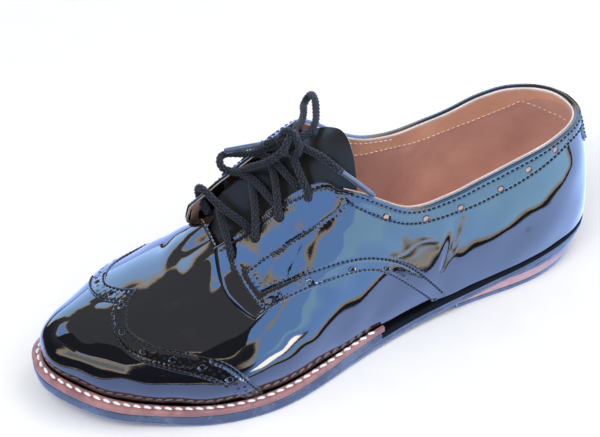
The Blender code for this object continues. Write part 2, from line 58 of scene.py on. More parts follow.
LAST_COLUMNS = ("station", "lateral", "medial", "feather", "bulge", "crest", "ridge",
                "full_lateral", "full_medial", "ledge", "tread")
LAST_ROWS = (
    (0, 25.5, 22.0, 19.0, 23.0, 104.5, 0.5, 0.00, 0.00, 0.9, 14.0),
    (28, 24.8, 26.2, 16.5, 22.7, 103.5, 0.8, 0.00, 0.00, 1.2, 11.0),
    (60, 25.0, 26.2, 12.1, 24.1, 106.0, 0.4, 0.00, 0.00, 1.5, 5.1),
    (92, 28.4, 24.3, 9.8, 22.1, 107.0, -0.2, -0.03, -0.10, 2.0, 2.1),
    (125, 36.0, 27.7, 7.5, 19.0, 89.3, -1.9, -0.08, 1.05, 3.5, 0.3),
    (157, 43.2, 35.4, 5.9, 14.6, 60.9, -3.9, -0.05, 0.10, 5.8, -0.3),
    (185, 40.6, 38.1, 6.0, 12.0, 47.2, -2.9, 0.02, 0.02, 6.1, -0.1),
    (208, 34.0, 36.3, 7.7, 10.2, 43.2, -2.4, 0.06, 0.06, 6.3, 2.4),
    (225, 28.7, 31.1, 10.7, 7.9, 38.4, -3.4, 0.09, 0.09, 6.6, 5.1),
    (243, 17.6, 24.0, 16.5, 6.6, 33.8, -5.0, 0.10, 0.10, 6.4, 9.6),
)
HEEL_ROUND = (45.0 * MM, 2.3)
TOE_ROUND = (70.0 * MM, 2.6)
SPINE_HEEL = 60.0 * MM
SPINE_TOE = 80.0 * MM


def spline(stations, values):
    """A smooth curve through a table's rows, straight at both ends."""
    xs = np.asarray(stations, float)
    ys = np.asarray(values, float)
    count = len(xs)
    step = np.diff(xs)
    matrix = np.eye(count)
    right = np.zeros(count)
    for i in range(1, count - 1):
        matrix[i, i - 1:i + 2] = step[i - 1], 2 * (step[i - 1] + step[i]), step[i]
        right[i] = 6 * ((ys[i + 1] - ys[i]) / step[i] - (ys[i] - ys[i - 1]) / step[i - 1])
    bend = np.linalg.solve(matrix, right)

    def curve(x):
        x = np.asarray(x, float)
        k = np.clip(np.searchsorted(xs, x) - 1, 0, count - 2)
        left, after, h = xs[k + 1] - x, x - xs[k], step[k]
        cubic = (bend[k] * left ** 3 + bend[k + 1] * after ** 3) / (6 * h)
        return cubic + (ys[k] / h - bend[k] * h / 6) * left + (ys[k + 1] / h - bend[k + 1] * h / 6) * after
    return curve


def table(columns, rows, unitless=()):
    """Smooth curves over the first column, one for each of the others."""
    values = np.array(rows, float)
    return {name: spline(values[:, 0] * MM, values[:, i] * (1.0 if name in unitless else MM))
            for i, name in enumerate(columns) if i}


LAST = table(LAST_COLUMNS, LAST_ROWS, unitless=("full_lateral", "full_medial"))


def travel(points, axis=0):
    """The distance gone at each point of a line, or along the lines of a grid."""
    steps = np.linalg.norm(np.diff(points, axis=axis), axis=-1)
    return np.concatenate([np.zeros_like(steps.take([0], axis)), np.cumsum(steps, axis)], axis)


def between(a, b, share):
    """Part way from one thing to another."""
    return a * (1 - share) + b * share


def at_ways(ways, way, points):
    """Places on a line at given distances along it."""
    return np.stack([np.interp(ways, way, column) for column in points.T], -1)


def along(points, count):
    """A line given by many points, taken at even steps."""
    way = travel(points)
    return at_ways(np.linspace(0, way[-1], count), way, points)


def outline(s, side):
    """Lateral offset of the last bottom's edge at a station."""
    heel = np.clip(1 - s / HEEL_ROUND[0], 0, 1)
    toe = np.clip(1 - (LENGTH - s) / TOE_ROUND[0], 0, 1)
    rounding = ((1 - heel ** HEEL_ROUND[1]) ** (1 / HEEL_ROUND[1])
                * (1 - toe ** TOE_ROUND[1]) ** (1 / TOE_ROUND[1]))
    lateral, medial = LAST["lateral"](s), LAST["medial"](s)
    return (lateral - medial) / 2 + side * (lateral + medial) / 2 * rounding


def half_section(s, side):
    """The numbers of one half section of the last, which fans round the heel and the toe."""
    heel = np.clip(1 - s / SPINE_HEEL, 0, 1)
    toe = np.clip(1 - (LENGTH - s) / SPINE_TOE, 0, 1)
    centre = np.where(s < SPINE_HEEL, SPINE_HEEL * (1 - heel + heel ** 3 / 3), s)
    centre = np.where(toe > 0, LENGTH - SPINE_TOE + SPINE_TOE * (toe - toe ** 3 / 3), centre)
    ridge = LAST["ridge"](centre)
    along = s - centre
    across = outline(s, side) - ridge
    reach = np.hypot(along, across)
    widest = LAST["feather"](s) + LAST["bulge"](s)
    rise = LAST["crest"](centre) - widest
    fullness = np.where(side > 0, LAST["full_lateral"](centre), LAST["full_medial"](centre))
    first = -np.arcsin((LAST["bulge"](s) - GAP) / rise)
    return dict(centre=centre, ridge=ridge, along=along / reach, across=across / reach, widest=widest,
                rise=rise, fullness=fullness, first=first, radius=reach / np.cos(first))


def unfold(p, a):
    """A place on the last is p, the station with a sign for the side, and a, the angle up its section.
    Past the ridge or the toe the place is on the other side."""
    p, a = np.broadcast_arrays(np.asarray(p, float), np.asarray(a, float))
    over = a > math.pi / 2
    p = np.where(over, -p, p)
    p = (p + LENGTH) % (2 * LENGTH) - LENGTH
    return np.abs(p), np.where(p >= 0, 1.0, -1.0), np.where(over, math.pi - a, a)


def last_point(p, a):
    """Station, offset and height of places on the last."""
    s, side, a = unfold(p, a)
    sec = half_section(s, side)
    reach = sec["radius"] * np.cos(a) * (1 + sec["fullness"] * np.maximum(np.sin(a), 0) ** 2)
    return np.stack([sec["centre"] + reach * sec["along"], sec["ridge"] + reach * sec["across"],
                     sec["widest"] + sec["rise"] * np.sin(a)], -1)


def unit(vectors):
    """Vectors brought to the length one."""
    return vectors / np.maximum(np.linalg.norm(vectors, axis=-1, keepdims=True), 1e-12)


NORMAL_STEP = (0.3 * MM, 0.004)
NORMAL_SCALE = 40 * MM            # about what one radian up a section covers
PLAIN_WEIGHT = 0.03               # share of the section's own normal


def outward(p, a):
    """The last's normals. Where its sections meet in one point at the toe, the section's own one counts."""
    dp, da = NORMAL_STEP
    along = (last_point(p + dp, a) - last_point(p - dp, a)) / (2 * dp)
    up = (last_point(p, a + da) - last_point(p, a - da)) / (2 * da)
    s, side, angle = unfold(p, a)
    sec = half_section(s, side)
    flat = np.cos(angle) / sec["radius"]
    plain = unit(np.stack([sec["along"] * flat, sec["across"] * flat, np.sin(angle) / sec["rise"]], -1))
    return unit(np.cross(up, along) / NORMAL_SCALE + PLAIN_WEIGHT * plain)


def height_angle(s, z):
    """The angle at which a section reaches a height."""
    sec = half_section(np.asarray(s, float), 1.0)
    return np.arcsin(np.clip((z - sec["widest"]) / sec["rise"], -1, 0.9999))


# The forefoot's flex lines, the pinch below the collar and the soft ridge beside the vamp:
# path, reach across it at both ends, depth (a ridge is negative).
CREASES = (
    (((67.0, 26.8, 53.0), (70.8, 27.2, 41), (75.2, 27.4, 29)), (4.4, 0.9), 0.55),
    (((58, 26.5, 50), (61, 27, 40), (66, 27.2, 30)), (4, 3), -0.1),
    (((84, 28, 50), (82.5, 28.5, 40), (80, 28.5, 30)), (5, 3), -0.1),
    (((168, 20, 50), (176, 28, 43), (185, 37, 34)), (5, 6), -0.55),
    (((170, 8, 53), (178, 18, 48), (182, 27, 42)), (3.5, 4), 0.35),
    (((176, -14, 49), (181, -4, 50), (184, 8, 48), (186, 20, 44)), (3, 3), 0.22),
    (((184, -20, 46), (190, -8, 47), (193, 6, 46), (192, 18, 43)), (3.5, 3), 0.2),
    (((171, -20, 50), (180, -31, 42), (186, -37, 33)), (5, 6), -0.5),
    (((70, -27, 52), (74, -28, 42), (78, -28, 32)), (4, 2), 0.7),
    (((32, 24, 60), (36, 26, 48), (34, 26.5, 38)), (6, 5), 0.12),
    (((118, 33, 40), (112, 34, 32), (108, 33.5, 22)), (6, 5), 0.3),
    (((145, 41, 34), (138, 41, 26), (133, 39.5, 18)), (6, 5), -0.3),
)
# Unevenness of hand lasting: wave lengths along the three axes, phase, height.
WAVES = ((31, 44, 37, 0.4, 0.10), (-22, 35, 29, 1.9, 0.07), (47, -27, 24, 3.1, 0.09),
         (17, 26, -21, 4.4, 0.035), (14, -19, 33, 0.9, 0.025))


def hand_shape(points):
    """How far the leather stands off the last's smooth surface, from creases and uneven lasting."""
    shape = np.zeros(points.shape[:-1])
    for *waves, phase, height in WAVES:
        shape += height * MM * np.sin(points @ (2 * math.pi / (np.array(waves) * MM)) + phase)
    for path, ends, depth in CREASES:
        path = np.array(path, float) * MM
        pieces = len(path) - 1
        nearest = np.full(points.shape[:-1], 1.0)
        share = np.zeros(points.shape[:-1])
        for k in range(pieces):
            start, way = path[k], path[k + 1] - path[k]
            t = np.clip(((points - start) @ way) / (way @ way), 0, 1)
            far = np.linalg.norm(points - start - t[..., None] * way, axis=-1)
            closer = far < nearest
            nearest = np.where(closer, far, nearest)
            share = np.where(closer, (k + t) / pieces, share)
        shape -= depth * MM * np.exp(-(nearest / (between(*ends, share) * MM)) ** 2)
    return shape


THROAT = table(("station", "half_gap"),
               ((100, 18.0), (112, 17.0), (124, 15.0), (140, 11.5), (152, 9.0), (165, 5.5)))
COLLAR = table(("station", "lateral", "medial"),
               ((0, 74.5, 74.5), (25, 72.7, 74.1), (50, 68.6, 66.5), (72, 65.0, 66.6), (90, 68.6, 71.2),
                (104, 79.4, 80.6), (116, 85.2, 88.9)))
THROAT_FRONT = 165.0 * MM
THROAT_START = 100.0 * MM
COLLAR_END = 116.0 * MM
COLLAR_CLIMB = 60.0               # radians a metre; past its end the collar leaves the edge to the facing
CORNER_SOFTNESS = 0.14            # radians


def top_edge(p):
    """The angle at which the upper ends: at the collar's height, or at the facing's edge."""
    s, side, _ = unfold(p, 0.0)
    sec = half_section(s, side)
    height = np.where(side > 0, COLLAR["lateral"](np.minimum(s, COLLAR_END)),
                      COLLAR["medial"](np.minimum(s, COLLAR_END)))
    collar = np.arcsin(np.clip((height - sec["widest"]) / sec["rise"], -1, 0.999))
    collar = collar + np.maximum(s - COLLAR_END, 0) * COLLAR_CLIMB
    gap = THROAT["half_gap"](np.maximum(s, THROAT_START)) * np.clip(s / THROAT_START, 0, 1) ** 4
    facing = np.arccos(np.clip(gap / (sec["radius"] * (1 + sec["fullness"])), 0, 1))
    soft = np.hypot(collar - facing, CORNER_SOFTNESS)
    return (collar + facing - soft) / 2


FLAP_START = 114.0 * MM
FLAP_END = 172.0 * MM
FLAP_WIDTH = 0.78                 # radians of the section that bend
FLAP_TURN, FLAP_BEND = 0.9, 1.7   # how early it opens along the facing and how late across it
FLAP_SHIFT = np.array([4.2, -7.5, 11.5]) * MM


def smooth(x):
    """A share that starts and ends softly."""
    x = np.clip(x, 0, 1)
    return x * x * (3 - 2 * x)


def flap_open(p, a):
    """The inner facing stands off the instep at its front, where the lace lets it go."""
    s, side, angle = unfold(p, a)
    turned = smooth((s - FLAP_START) / (FLAP_END - FLAP_START)) ** FLAP_TURN
    up = np.clip((angle - top_edge(-s) + FLAP_WIDTH) / FLAP_WIDTH, 0, 1.05) ** FLAP_BEND
    return np.where(side < 0, turned * up, 0.0)[..., None] * FLAP_SHIFT


def skin(p, a, lift=0.0, flap=False):
    """Points of leather that lies lift above the last."""
    base = last_point(p, a)
    points = base + outward(p, a) * (lift + hand_shape(base))[..., None]
    return points + flap_open(p, a) if flap else points


def to_world(points):
    """Places in the frame from the shoe's own measures."""
    points = np.asarray(points, float)
    return np.stack([STATION_AT_X0 - points[..., 0], OFFSET_AT_Y0 - points[..., 1], points[..., 2]], -1)


def perimeter_table(count=6000):
    """Signed stations round the last bottom's edge and the way along it, from the toe to the toe."""
    t = np.linspace(-1, 1, count)
    p = np.sign(t) * LENGTH * smooth(np.abs(t))
    s, side, _ = unfold(np.clip(p, -LENGTH + 1e-9, LENGTH - 1e-9), 0.0)
    places = np.stack([s, outline(s, side)], -1)
    return p, travel(places), places


RIM_P, RIM_WAY, RIM_PLACES = perimeter_table()
RIM_PROBE = 0.3 * MM              # how far either way the edge's direction is taken


def even_stations(start, end, step):
    """Signed stations at even steps round the outline, from start towards the toe or over the heel to end."""
    a, b = np.interp([start, end], RIM_P, RIM_WAY)
    ways = np.linspace(a, b, max(2, int(abs(b - a) / step)) + 1)
    return np.interp(ways, RIM_WAY, RIM_P)


def round_toe(start, step):
    """Signed stations from start on the outer side round the toe to start on the inner side."""
    outer = even_stations(start, LENGTH, step)
    return np.concatenate([outer, -even_stations(start, LENGTH, step)[-2::-1]])


def sole_edge(p, grow):
    """Points of the last bottom's outline, moved outwards by grow."""
    p, grow = np.broadcast_arrays(np.asarray(p, float), np.asarray(grow, float))
    way = np.interp(p, RIM_P, RIM_WAY)
    total = RIM_WAY[-1]
    before, here, after = (at_ways((way + d) % total if d else way, RIM_WAY, RIM_PLACES)
                           for d in (-RIM_PROBE, 0, RIM_PROBE))
    ahead = unit(after - before)
    return here + grow[..., None] * np.stack([-ahead[..., 1], ahead[..., 0]], -1)


def grid_faces(rows, columns, flip=False, wrap=False):
    """Quads of a grid of points, rows by columns."""
    i, j = np.meshgrid(np.arange(rows if wrap else rows - 1), np.arange(columns - 1), indexing="ij")
    a, b = i * columns + j, (i + 1) % rows * columns + j
    quads = np.stack([a, a + 1, b + 1, b], -1).reshape(-1, 4)
    return quads[:, ::-1] if flip else quads


def make_piece(name, points, faces, material):
    """A smooth mesh from points in the shoe's measures."""
    mesh = bpy.data.meshes.new(name)
    mesh.from_pydata(to_world(points).reshape(-1, 3).tolist(), [], [tuple(map(int, face)) for face in faces])
    mesh.validate()
    mesh.shade_smooth()
    mesh.materials.append(material)
    obj = bpy.data.objects.new(name, mesh)
    bpy.context.scene.collection.objects.link(obj)
    return obj


def feed(tree, target, inputs):
    """Each named input of a node linked or set."""
    for key, value in inputs.items():
        if isinstance(value, bpy.types.NodeSocket):
            tree.links.new(value, target.inputs[key])
        else:
            target.inputs[key].default_value = value


def node(tree, kind, inputs=None, **settings):
    """A shader node with its settings, and each input linked or set."""
    made = tree.nodes.new(kind)
    for key, value in settings.items():
        setattr(made, key, value)
    feed(tree, made, inputs or {})
    return made


def object_place(tree):
    """Where a point lies on its piece."""
    return node(tree, "ShaderNodeTexCoord").outputs["Object"]


def noise(tree, place, scale, detail=2.0, roughness=0.5, distortion=0.0):
    """Cloudy unevenness."""
    return node(tree, "ShaderNodeTexNoise", {"Vector": place, "Scale": scale, "Detail": detail,
                                             "Roughness": roughness, "Distortion": distortion}).outputs["Fac"]


def carry(tree, value, start=0.0, end=1.0, low=0.0, high=1.0, ease="SMOOTHSTEP"):
    """A value carried from one range to another, as a rule with soft ends."""
    return node(tree, "ShaderNodeMapRange", {"Value": value, "From Min": start, "From Max": end,
                                             "To Min": low, "To Max": high},
                interpolation_type=ease).outputs["Result"]


def sums(tree, operation, *values):
    """One sum on two or three values."""
    return node(tree, "ShaderNodeMath", dict(enumerate(values)), operation=operation).outputs[0]


def blend(tree, factor, a, b):
    """Two colours mixed by a mask."""
    return node(tree, "ShaderNodeMix", {"Factor": factor, "A": a, "B": b}, data_type="RGBA").outputs["Result"]


def bump(tree, height, strength, distance, **below):
    """A normal bent by a height, on top of any bump below it."""
    return node(tree, "ShaderNodeBump", {"Height": height, "Strength": strength, "Distance": distance,
                                         **below}).outputs["Normal"]


def new_material(name):
    """A material, its node tree and its shader."""
    material = bpy.data.materials.new(name)
    material.use_nodes = True
    return material, material.node_tree, material.node_tree.nodes["Principled BSDF"]


def node_group(name, inputs, outputs):
    """A shader node group with named sockets, and its input and output nodes."""
    tree = bpy.data.node_groups.new(name, "ShaderNodeTree")
    for label, value in inputs.items():
        socket = tree.interface.new_socket(label, in_out="INPUT", socket_type="NodeSocketFloat")
        socket.default_value = value
    for label in outputs:
        tree.interface.new_socket(label, in_out="OUTPUT", socket_type="NodeSocketFloat")
    return tree, tree.nodes.new("NodeGroupInput"), tree.nodes.new("NodeGroupOutput")


def colour(*srgb):
    """A colour given as it looks, 0 to 255, as the shader's linear value."""
    return tuple((c / 255 / 12.92 if c <= 10 else ((c / 255 + 0.055) / 1.055) ** 2.4) for c in srgb) + (1.0,)


def leather_grain_group():
    """Pores and fine wrinkles of leather, as a height, and a slow stain mask."""
    tree, given, out = node_group("leather_grain", {"Pore Scale": 900.0, "Wrinkle": 0.4, "Stain Scale": 40.0},
                                  ("Height", "Stain"))
    place = object_place(tree)
    pores = node(tree, "ShaderNodeTexVoronoi", {"Vector": place, "Scale": given.outputs["Pore Scale"]},
                 feature="DISTANCE_TO_EDGE")
    pore = carry(tree, pores.outputs["Distance"], end=0.25, ease="LINEAR")
    wrinkle = sums(tree, "MULTIPLY", noise(tree, place, 160.0, 5.0, 0.6, 0.8), given.outputs["Wrinkle"])
    feed(tree, out, {"Height": sums(tree, "ADD", pore, wrinkle),
                     "Stain": noise(tree, place, given.outputs["Stain Scale"], 6.0, 0.62, 0.4)})
    return tree


GRAIN = leather_grain_group()


def soft_leather(name, dark, light, roughness, pore_scale=900.0, wrinkle=0.5, depth=0.12, stain_scale=40.0,
                 sheen=0.0):
    """Unlacquered leather: two tones mixed by its stain, pores as bump."""
    material, tree, shader = new_material(name)
    grain = node(tree, "ShaderNodeGroup", {"Pore Scale": pore_scale, "Wrinkle": wrinkle,
                                           "Stain Scale": stain_scale}, node_tree=GRAIN).outputs
    feed(tree, shader, {
        "Base Color": blend(tree, carry(tree, grain["Stain"], 0.32, 0.68), dark, light),
        "Roughness": carry(tree, grain["Stain"], low=roughness - 0.1, high=roughness + 0.1, ease="LINEAR"),
        "Normal": bump(tree, grain["Height"], 0.5, depth * MM),
        "Sheen Weight": sheen})
    return material


INSOLE_THICKNESS = 3.0 * MM
INSOLE_INSET = 2.4 * MM
INSOLE_RISE = 0.8 * MM            # at the wall
INSOLE_HOLLOW = 0.5 * MM          # along the middle
INSOLE_TAN = soft_leather("insole_tan", colour(186, 132, 118), colour(208, 152, 134), 0.55)


def make_insole():
    """Rows across the shoe; the sock rises a little towards the wall and rounds over at its edge."""
    across = np.sin(np.linspace(-math.pi / 2, math.pi / 2, 41))
    s = LENGTH * smooth(np.linspace(0, 1, 200))
    low, high = sole_edge(-s, -INSOLE_INSET), sole_edge(s, -INSOLE_INSET)
    plan = between(low[:, None], high[:, None], (across[None, :, None] + 1) / 2)
    level = LAST["feather"](np.clip(plan[..., 0], 0, LENGTH)) + GAP
    top = (level + INSOLE_THICKNESS + INSOLE_RISE * across[None, :] ** 4
           - INSOLE_HOLLOW * (1 - across[None, :] ** 2))
    points = np.stack([np.concatenate([plan, height[..., None]], -1) for height in (top, level)])
    faces = np.concatenate([grid_faces(*level.shape, flip=True), grid_faces(*level.shape) + level.size])
    return make_piece("insole_sock", points, faces, INSOLE_TAN)


insole = make_insole()
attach(insole, "root")
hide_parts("insole")

# ---------------------------------------------------------------- vamp
# Black patent leather pulled over the toe and lasted under; it runs back under the quarters to the
# waist. Lacquered leather is near black, with a clear hard coat that shows every unevenness.


def lacquer_group():
    """Slow unevenness and fine grain under the lacquer as a height, and a mask of dulled places."""
    tree, given, out = node_group("lacquer", {"Grain": 0.02, "Wave": 1.0}, ("Height", "Dull"))
    place = object_place(tree)
    slow = sums(tree, "MULTIPLY", noise(tree, place, 38.0, 1.5, 0.35), given.outputs["Wave"])
    fine = sums(tree, "MULTIPLY", noise(tree, place, 1400.0), given.outputs["Grain"])
    feed(tree, out, {"Height": sums(tree, "ADD", slow, fine),
                     "Dull": carry(tree, noise(tree, place, 70.0, 8.0, 0.7), 0.55, 0.75)})
    return tree


LACQUER = lacquer_group()
CRIMP_SCALE = 1150.0
CRIMP_DEPTH = 0.07 * MM


def patent(name, grain=0.02, wave=1.0, depth=0.35, roughness=0.045, base=(9, 9, 12), worn=(22, 22, 27),
           coat=1.0):
    """Lacquered leather, duller and greyer where it is worn, crimped beside its seams."""
    material, tree, shader = new_material(name)
    surface = node(tree, "ShaderNodeGroup", {"Grain": grain, "Wave": wave}, node_tree=LACQUER).outputs
    cells = node(tree, "ShaderNodeTexVoronoi", {"Vector": object_place(tree), "Scale": CRIMP_SCALE,
                                                "Randomness": 0.55}, feature="SMOOTH_F1")
    seam = node(tree, "ShaderNodeAttribute", attribute_name="seam").outputs["Fac"]
    crimped = bump(tree, sums(tree, "MULTIPLY", cells.outputs["Distance"], seam), 1.0, CRIMP_DEPTH,
                   Normal=bump(tree, surface["Height"], 1.0, depth * MM))
    feed(tree, shader, {
        "Base Color": blend(tree, surface["Dull"], colour(*base), colour(*worn)),
        "Roughness": carry(tree, surface["Dull"], low=roughness, high=roughness + 0.05, ease="LINEAR"),
        "Normal": crimped,
        "Specular IOR Level": 0.6,
        "Coat Weight": coat,
        "Coat Roughness": roughness / 2,
        "Coat IOR": 1.65,
        "Coat Normal": crimped})
    return material


PATENT = patent("patent_black")
VAMP_BACK = 74.0 * MM             # the vamp reaches this far back under the quarters
VAMP_STEP = 0.9 * MM
VAMP_ROWS = 72
VAMP_ROOF = 40
THROAT_DRAW = np.array([1.0, -3.0, 6.5]) * MM
DRAW_END = 196 * MM
DRAW_WIDTH = 1.15                 # radians below the edge
VAMP_COVERED = (78 * MM, 160 * MM)    # stations where the quarters cover the vamp's edge,
VAMP_LAP = 8 * MM                 # which lies this far above their lower edge,
VAMP_TURN = (146 * MM, 12 * MM)   # and from this station, over this way, goes up to the facing's edge
WALL_SHARE = 0.62                 # the toe's wall ends at this share of the way up to the ridge
SWOOSH_LOW = spline(np.array([78, 82.4, 92.7, 103.4, 114.4, 122.3, 136.3, 145.4, 155, 161.2]) * MM,
                    np.array([7, 14.4, 29.3, 41.9, 47.2, 48.8, 49.6, 48.2, 45.2, 42.3]) * MM)


def drawn_up(p, a):
    """On the inner side the throat is drawn up with the facing that is sewn over it; the pull fades
    towards the toe, down the wall and at the ridge."""
    s, side, angle = unfold(p, a)
    off_ridge = smooth((math.pi / 2 - angle) / 0.34)
    near = np.clip((angle - top_edge(-np.minimum(s, THROAT_FRONT)) + DRAW_WIDTH) / DRAW_WIDTH, 0, 1) ** 1.4
    ahead = 0.62 * smooth((DRAW_END - s) / (32 * MM)) * near
    under = 0.6 * np.linalg.norm(flap_open(-s, a), axis=-1) / np.linalg.norm(FLAP_SHIFT)
    drawn = between(under, ahead, smooth((s - 163 * MM) / (9 * MM))) * off_ridge
    return np.where(side < 0, drawn, 0.0)[..., None] * THROAT_DRAW


def make_vamp():
    """Columns round the toe from waist to waist; from the throat forwards they go on to the ridge."""
    p = round_toe(VAMP_BACK, VAMP_STEP)
    s, side, _ = unfold(p, 0.0)
    first = half_section(s, side)["first"]
    hidden = height_angle(np.minimum(s, VAMP_COVERED[1]), SWOOSH_LOW(np.clip(s, *VAMP_COVERED)) + VAMP_LAP)
    edge = top_edge(np.sign(p) * np.minimum(s, THROAT_FRONT))
    top = np.minimum(between(hidden, edge, smooth((s - VAMP_TURN[0]) / VAMP_TURN[1])), edge)
    share = np.clip((s - THROAT_FRONT) / (LENGTH - THROAT_FRONT), 0, 1)
    top = between(top, first + WALL_SHARE * (math.pi / 2 - first), share)
    wall = between(first[:, None], top[:, None], np.linspace(0, 1, VAMP_ROWS)[None, :])
    roof = between(top[:, None], math.pi / 2, np.linspace(0, 1, VAMP_ROOF + 1)[None, 1:])
    angles = np.concatenate([wall, roof], 1)
    stations = np.broadcast_to(p[:, None], angles.shape)
    points = skin(stations, angles) + drawn_up(stations, angles)
    count, columns = angles.shape
    row = np.arange(columns - 1)[None, :]
    front = np.minimum(s[:-1], s[1:])[:, None] >= THROAT_FRONT - 0.5 * MM
    kept = (row < VAMP_ROWS - 1) | front
    return make_piece("vamp", points, grid_faces(count, columns)[kept.ravel()], PATENT)


vamp = make_vamp()
weld = bmesh.new()
weld.from_mesh(vamp.data)
bmesh.ops.remove_doubles(weld, verts=weld.verts, dist=0.02 * MM)
bmesh.ops.delete(weld, geom=[v for v in weld.verts if not v.link_faces], context="VERTS")
weld.to_mesh(vamp.data)
weld.free()
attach(vamp, "root")
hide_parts("upper")

# ---------------------------------------------------------------- wing
# A second layer of patent leather over the toe in a W, about 10 mm wide: punched with holes and
# sewn down with a row of black thread along each edge.
WING_THICKNESS = 0.7 * MM
WING_WIDTH = 10.0 * MM
EDGE_ROUNDING = 0.45 * MM
EDGE_STEPS = np.array([0.0, 0.05, 0.15, 0.3, 0.5]) * MM


def shares(length, step, start=True, end=True):
    """Shares of a length at even steps, with closer ones at its rounded ends."""
    count = max(2, int(length / step))
    even = np.linspace(0, 1, count + 1)
    near = EDGE_STEPS / length
    low = near if start else even[:1]
    high = 1 - near[::-1] if end else even[-1:]
    middle = even[(even > low[-1] + 0.3 / count) & (even < high[0] - 0.3 / count)]
    return np.concatenate([low, middle, high])


def edge_distance(points, free):
    """How far each point of a grid is from the panel's free edges, along the grid."""
    up, on = travel(points, 1), travel(points)
    ways = {"low": up, "high": up[:, -1:] - up, "start": on, "end": on[-1:] - on}
    return np.min([ways[edge] for edge in free], axis=0)


def border(rows, columns, free):
    """Chains of grid indices along the free edges, each with the panel on its left."""
    index = np.arange(rows * columns).reshape(rows, columns)
    chains = {"low": index[::-1, 0], "start": index[0, :], "high": index[:, -1], "end": index[-1, ::-1]}
    return [chains[edge] for edge in ("low", "start", "high", "end") if edge in free]


def lay_panel(name, place, shape, thickness, material, free, rounding=EDGE_ROUNDING, bury=0.5 * MM):
    """Leather laid where place(lift) says, its free edges rounded and turned down."""
    thickness = np.broadcast_to(thickness, shape)
    flat = place(thickness)
    near = np.clip(edge_distance(flat, free) / rounding, 0, 1) if free else np.ones(shape)
    radius = np.minimum(rounding, thickness)
    outer = place(thickness - radius * (1 - np.sqrt(1 - (1 - near) ** 2)))
    sunk = place(np.full(shape, -bury)).reshape(-1, 3)
    rows, columns = shape
    i, j = rows // 2, columns // 2
    facing = np.cross(outer[i + 1, j] - outer[i, j], outer[i, j + 1] - outer[i, j])
    turned = facing @ (outer[i, j] - sunk[i * columns + j]) > 0
    faces = [grid_faces(rows, columns, flip=turned)]
    points = [outer.reshape(-1, 3)]
    count = rows * columns
    for chain in border(rows, columns, free):
        points.append(sunk[chain])
        below = count + np.arange(len(chain))
        skirt = np.stack([chain[:-1], below[:-1], below[1:], chain[1:]], -1)
        faces.append(skirt[:, ::-1] if turned else skirt)
        count += len(chain)
    obj = make_piece(name, np.concatenate(points), np.concatenate(faces), material)
    obj.data.set_sharp_from_angle(angle=math.radians(55))
    return obj


def smooth_path(points, step):
    """Points at even steps along a smooth curve through a few given ones."""
    points = np.asarray(points, float) * MM
    knots = travel(points)
    fine = np.linspace(0, knots[-1], 400)
    curve = np.stack([spline(knots, column)(fine) for column in points.T], -1)
    return along(curve, max(2, round(travel(curve)[-1] / step)) + 1)


def ground(obj):
    """How to rest things on a piece: gives the nearest places on it and its normals there."""
    mesh = obj.data
    places = [v.co.copy() for v in mesh.vertices]
    normals = np.array([v.normal for v in mesh.vertices])
    polygons = [tuple(face.vertices) for face in mesh.polygons]
    tree = BVHTree.FromPolygons(places, polygons)

    def rest(points):
        points = np.asarray(points, float)
        found, ups = [], []
        for spot in to_world(points).reshape(-1, 3):
            place, _, face, _ = tree.find_nearest(Vector(spot))
            corners = polygons[face]
            weights = np.array(poly_3d_calc([places[k] for k in corners], place))
            found.append(place)
            ups.append(weights @ normals[list(corners)])
        found, ups = np.array(found), unit(np.array(ups))
        back = np.stack([STATION_AT_X0 - found[:, 0], OFFSET_AT_Y0 - found[:, 1], found[:, 2]], -1)
        ups = np.stack([-ups[:, 0], -ups[:, 1], ups[:, 2]], -1)
        return back.reshape(points.shape), ups.reshape(points.shape)
    return rest


# Front and back edges of the wing's outer half, from its peak outwards: station, offset, height.
WING_FRONT = ((210.9, 2.4, 42.6), (213.7, 6.2, 41.6), (215.4, 9.8, 40.6), (215.8, 13.7, 39.2),
              (215.0, 21.1, 35.5), (211.6, 26.2, 32.8), (202.1, 33.7, 29.6), (196.7, 37.1, 28.1),
              (187.6, 42.1, 25.2), (179.6, 45.6, 19.7), (171.9, 45.1, 9.5))
WING_BACK = ((200.4, -0.3, 44.5), (204.6, 3.5, 43.7), (207.8, 8.6, 42.5), (209.5, 12.8, 41.1),
             (209.0, 17.8, 39.4), (206.2, 22.2, 38.0), (199.6, 28.7, 35.8), (194.1, 31.9, 35.3),
             (185.1, 37.6, 33.2), (177.2, 42.3, 30.4), (171.0, 46.3, 23.9), (162.4, 43.9, 6.0))
WING_FRONT_INNER = ((210.9, 2.4, 42.6), (213.2, -0.2, 42.0), (215.8, -3.4, 41.4), (217.9, -8.5, 40.9),
                    (218.4, -12.5, 40), (217.2, -19.8, 37.3), (212.5, -27, 33.5), (203, -34.5, 30),
                    (197, -37.5, 28), (188, -40.5, 24.5), (180, -41.5, 19), (172, -41, 9))
WING_BACK_INNER = ((200.4, -0.3, 44.5), (204.2, -2.5, 44.0), (208.3, -7.0, 43.1), (210.4, -11.0, 42.2),
                   (209.7, -17.2, 40.8), (206.5, -22.5, 38.5), (200, -29, 36), (194, -32.5, 35),
                   (185, -36.5, 33), (177, -39.5, 30), (171, -41, 23), (162.4, -40, 6))
WING_STEP = 0.5 * MM


def wing_lines(count):
    """The whole front and back edges, from the outer waist over the peak to the inner waist."""
    halves = [[along(smooth_path(line, 0.3 * MM), count) for line in pair]
              for pair in ((WING_FRONT, WING_BACK), (WING_FRONT_INNER, WING_BACK_INNER))]
    return [np.concatenate([outer[::-1], inner[1:]]) for outer, inner in zip(*halves)]


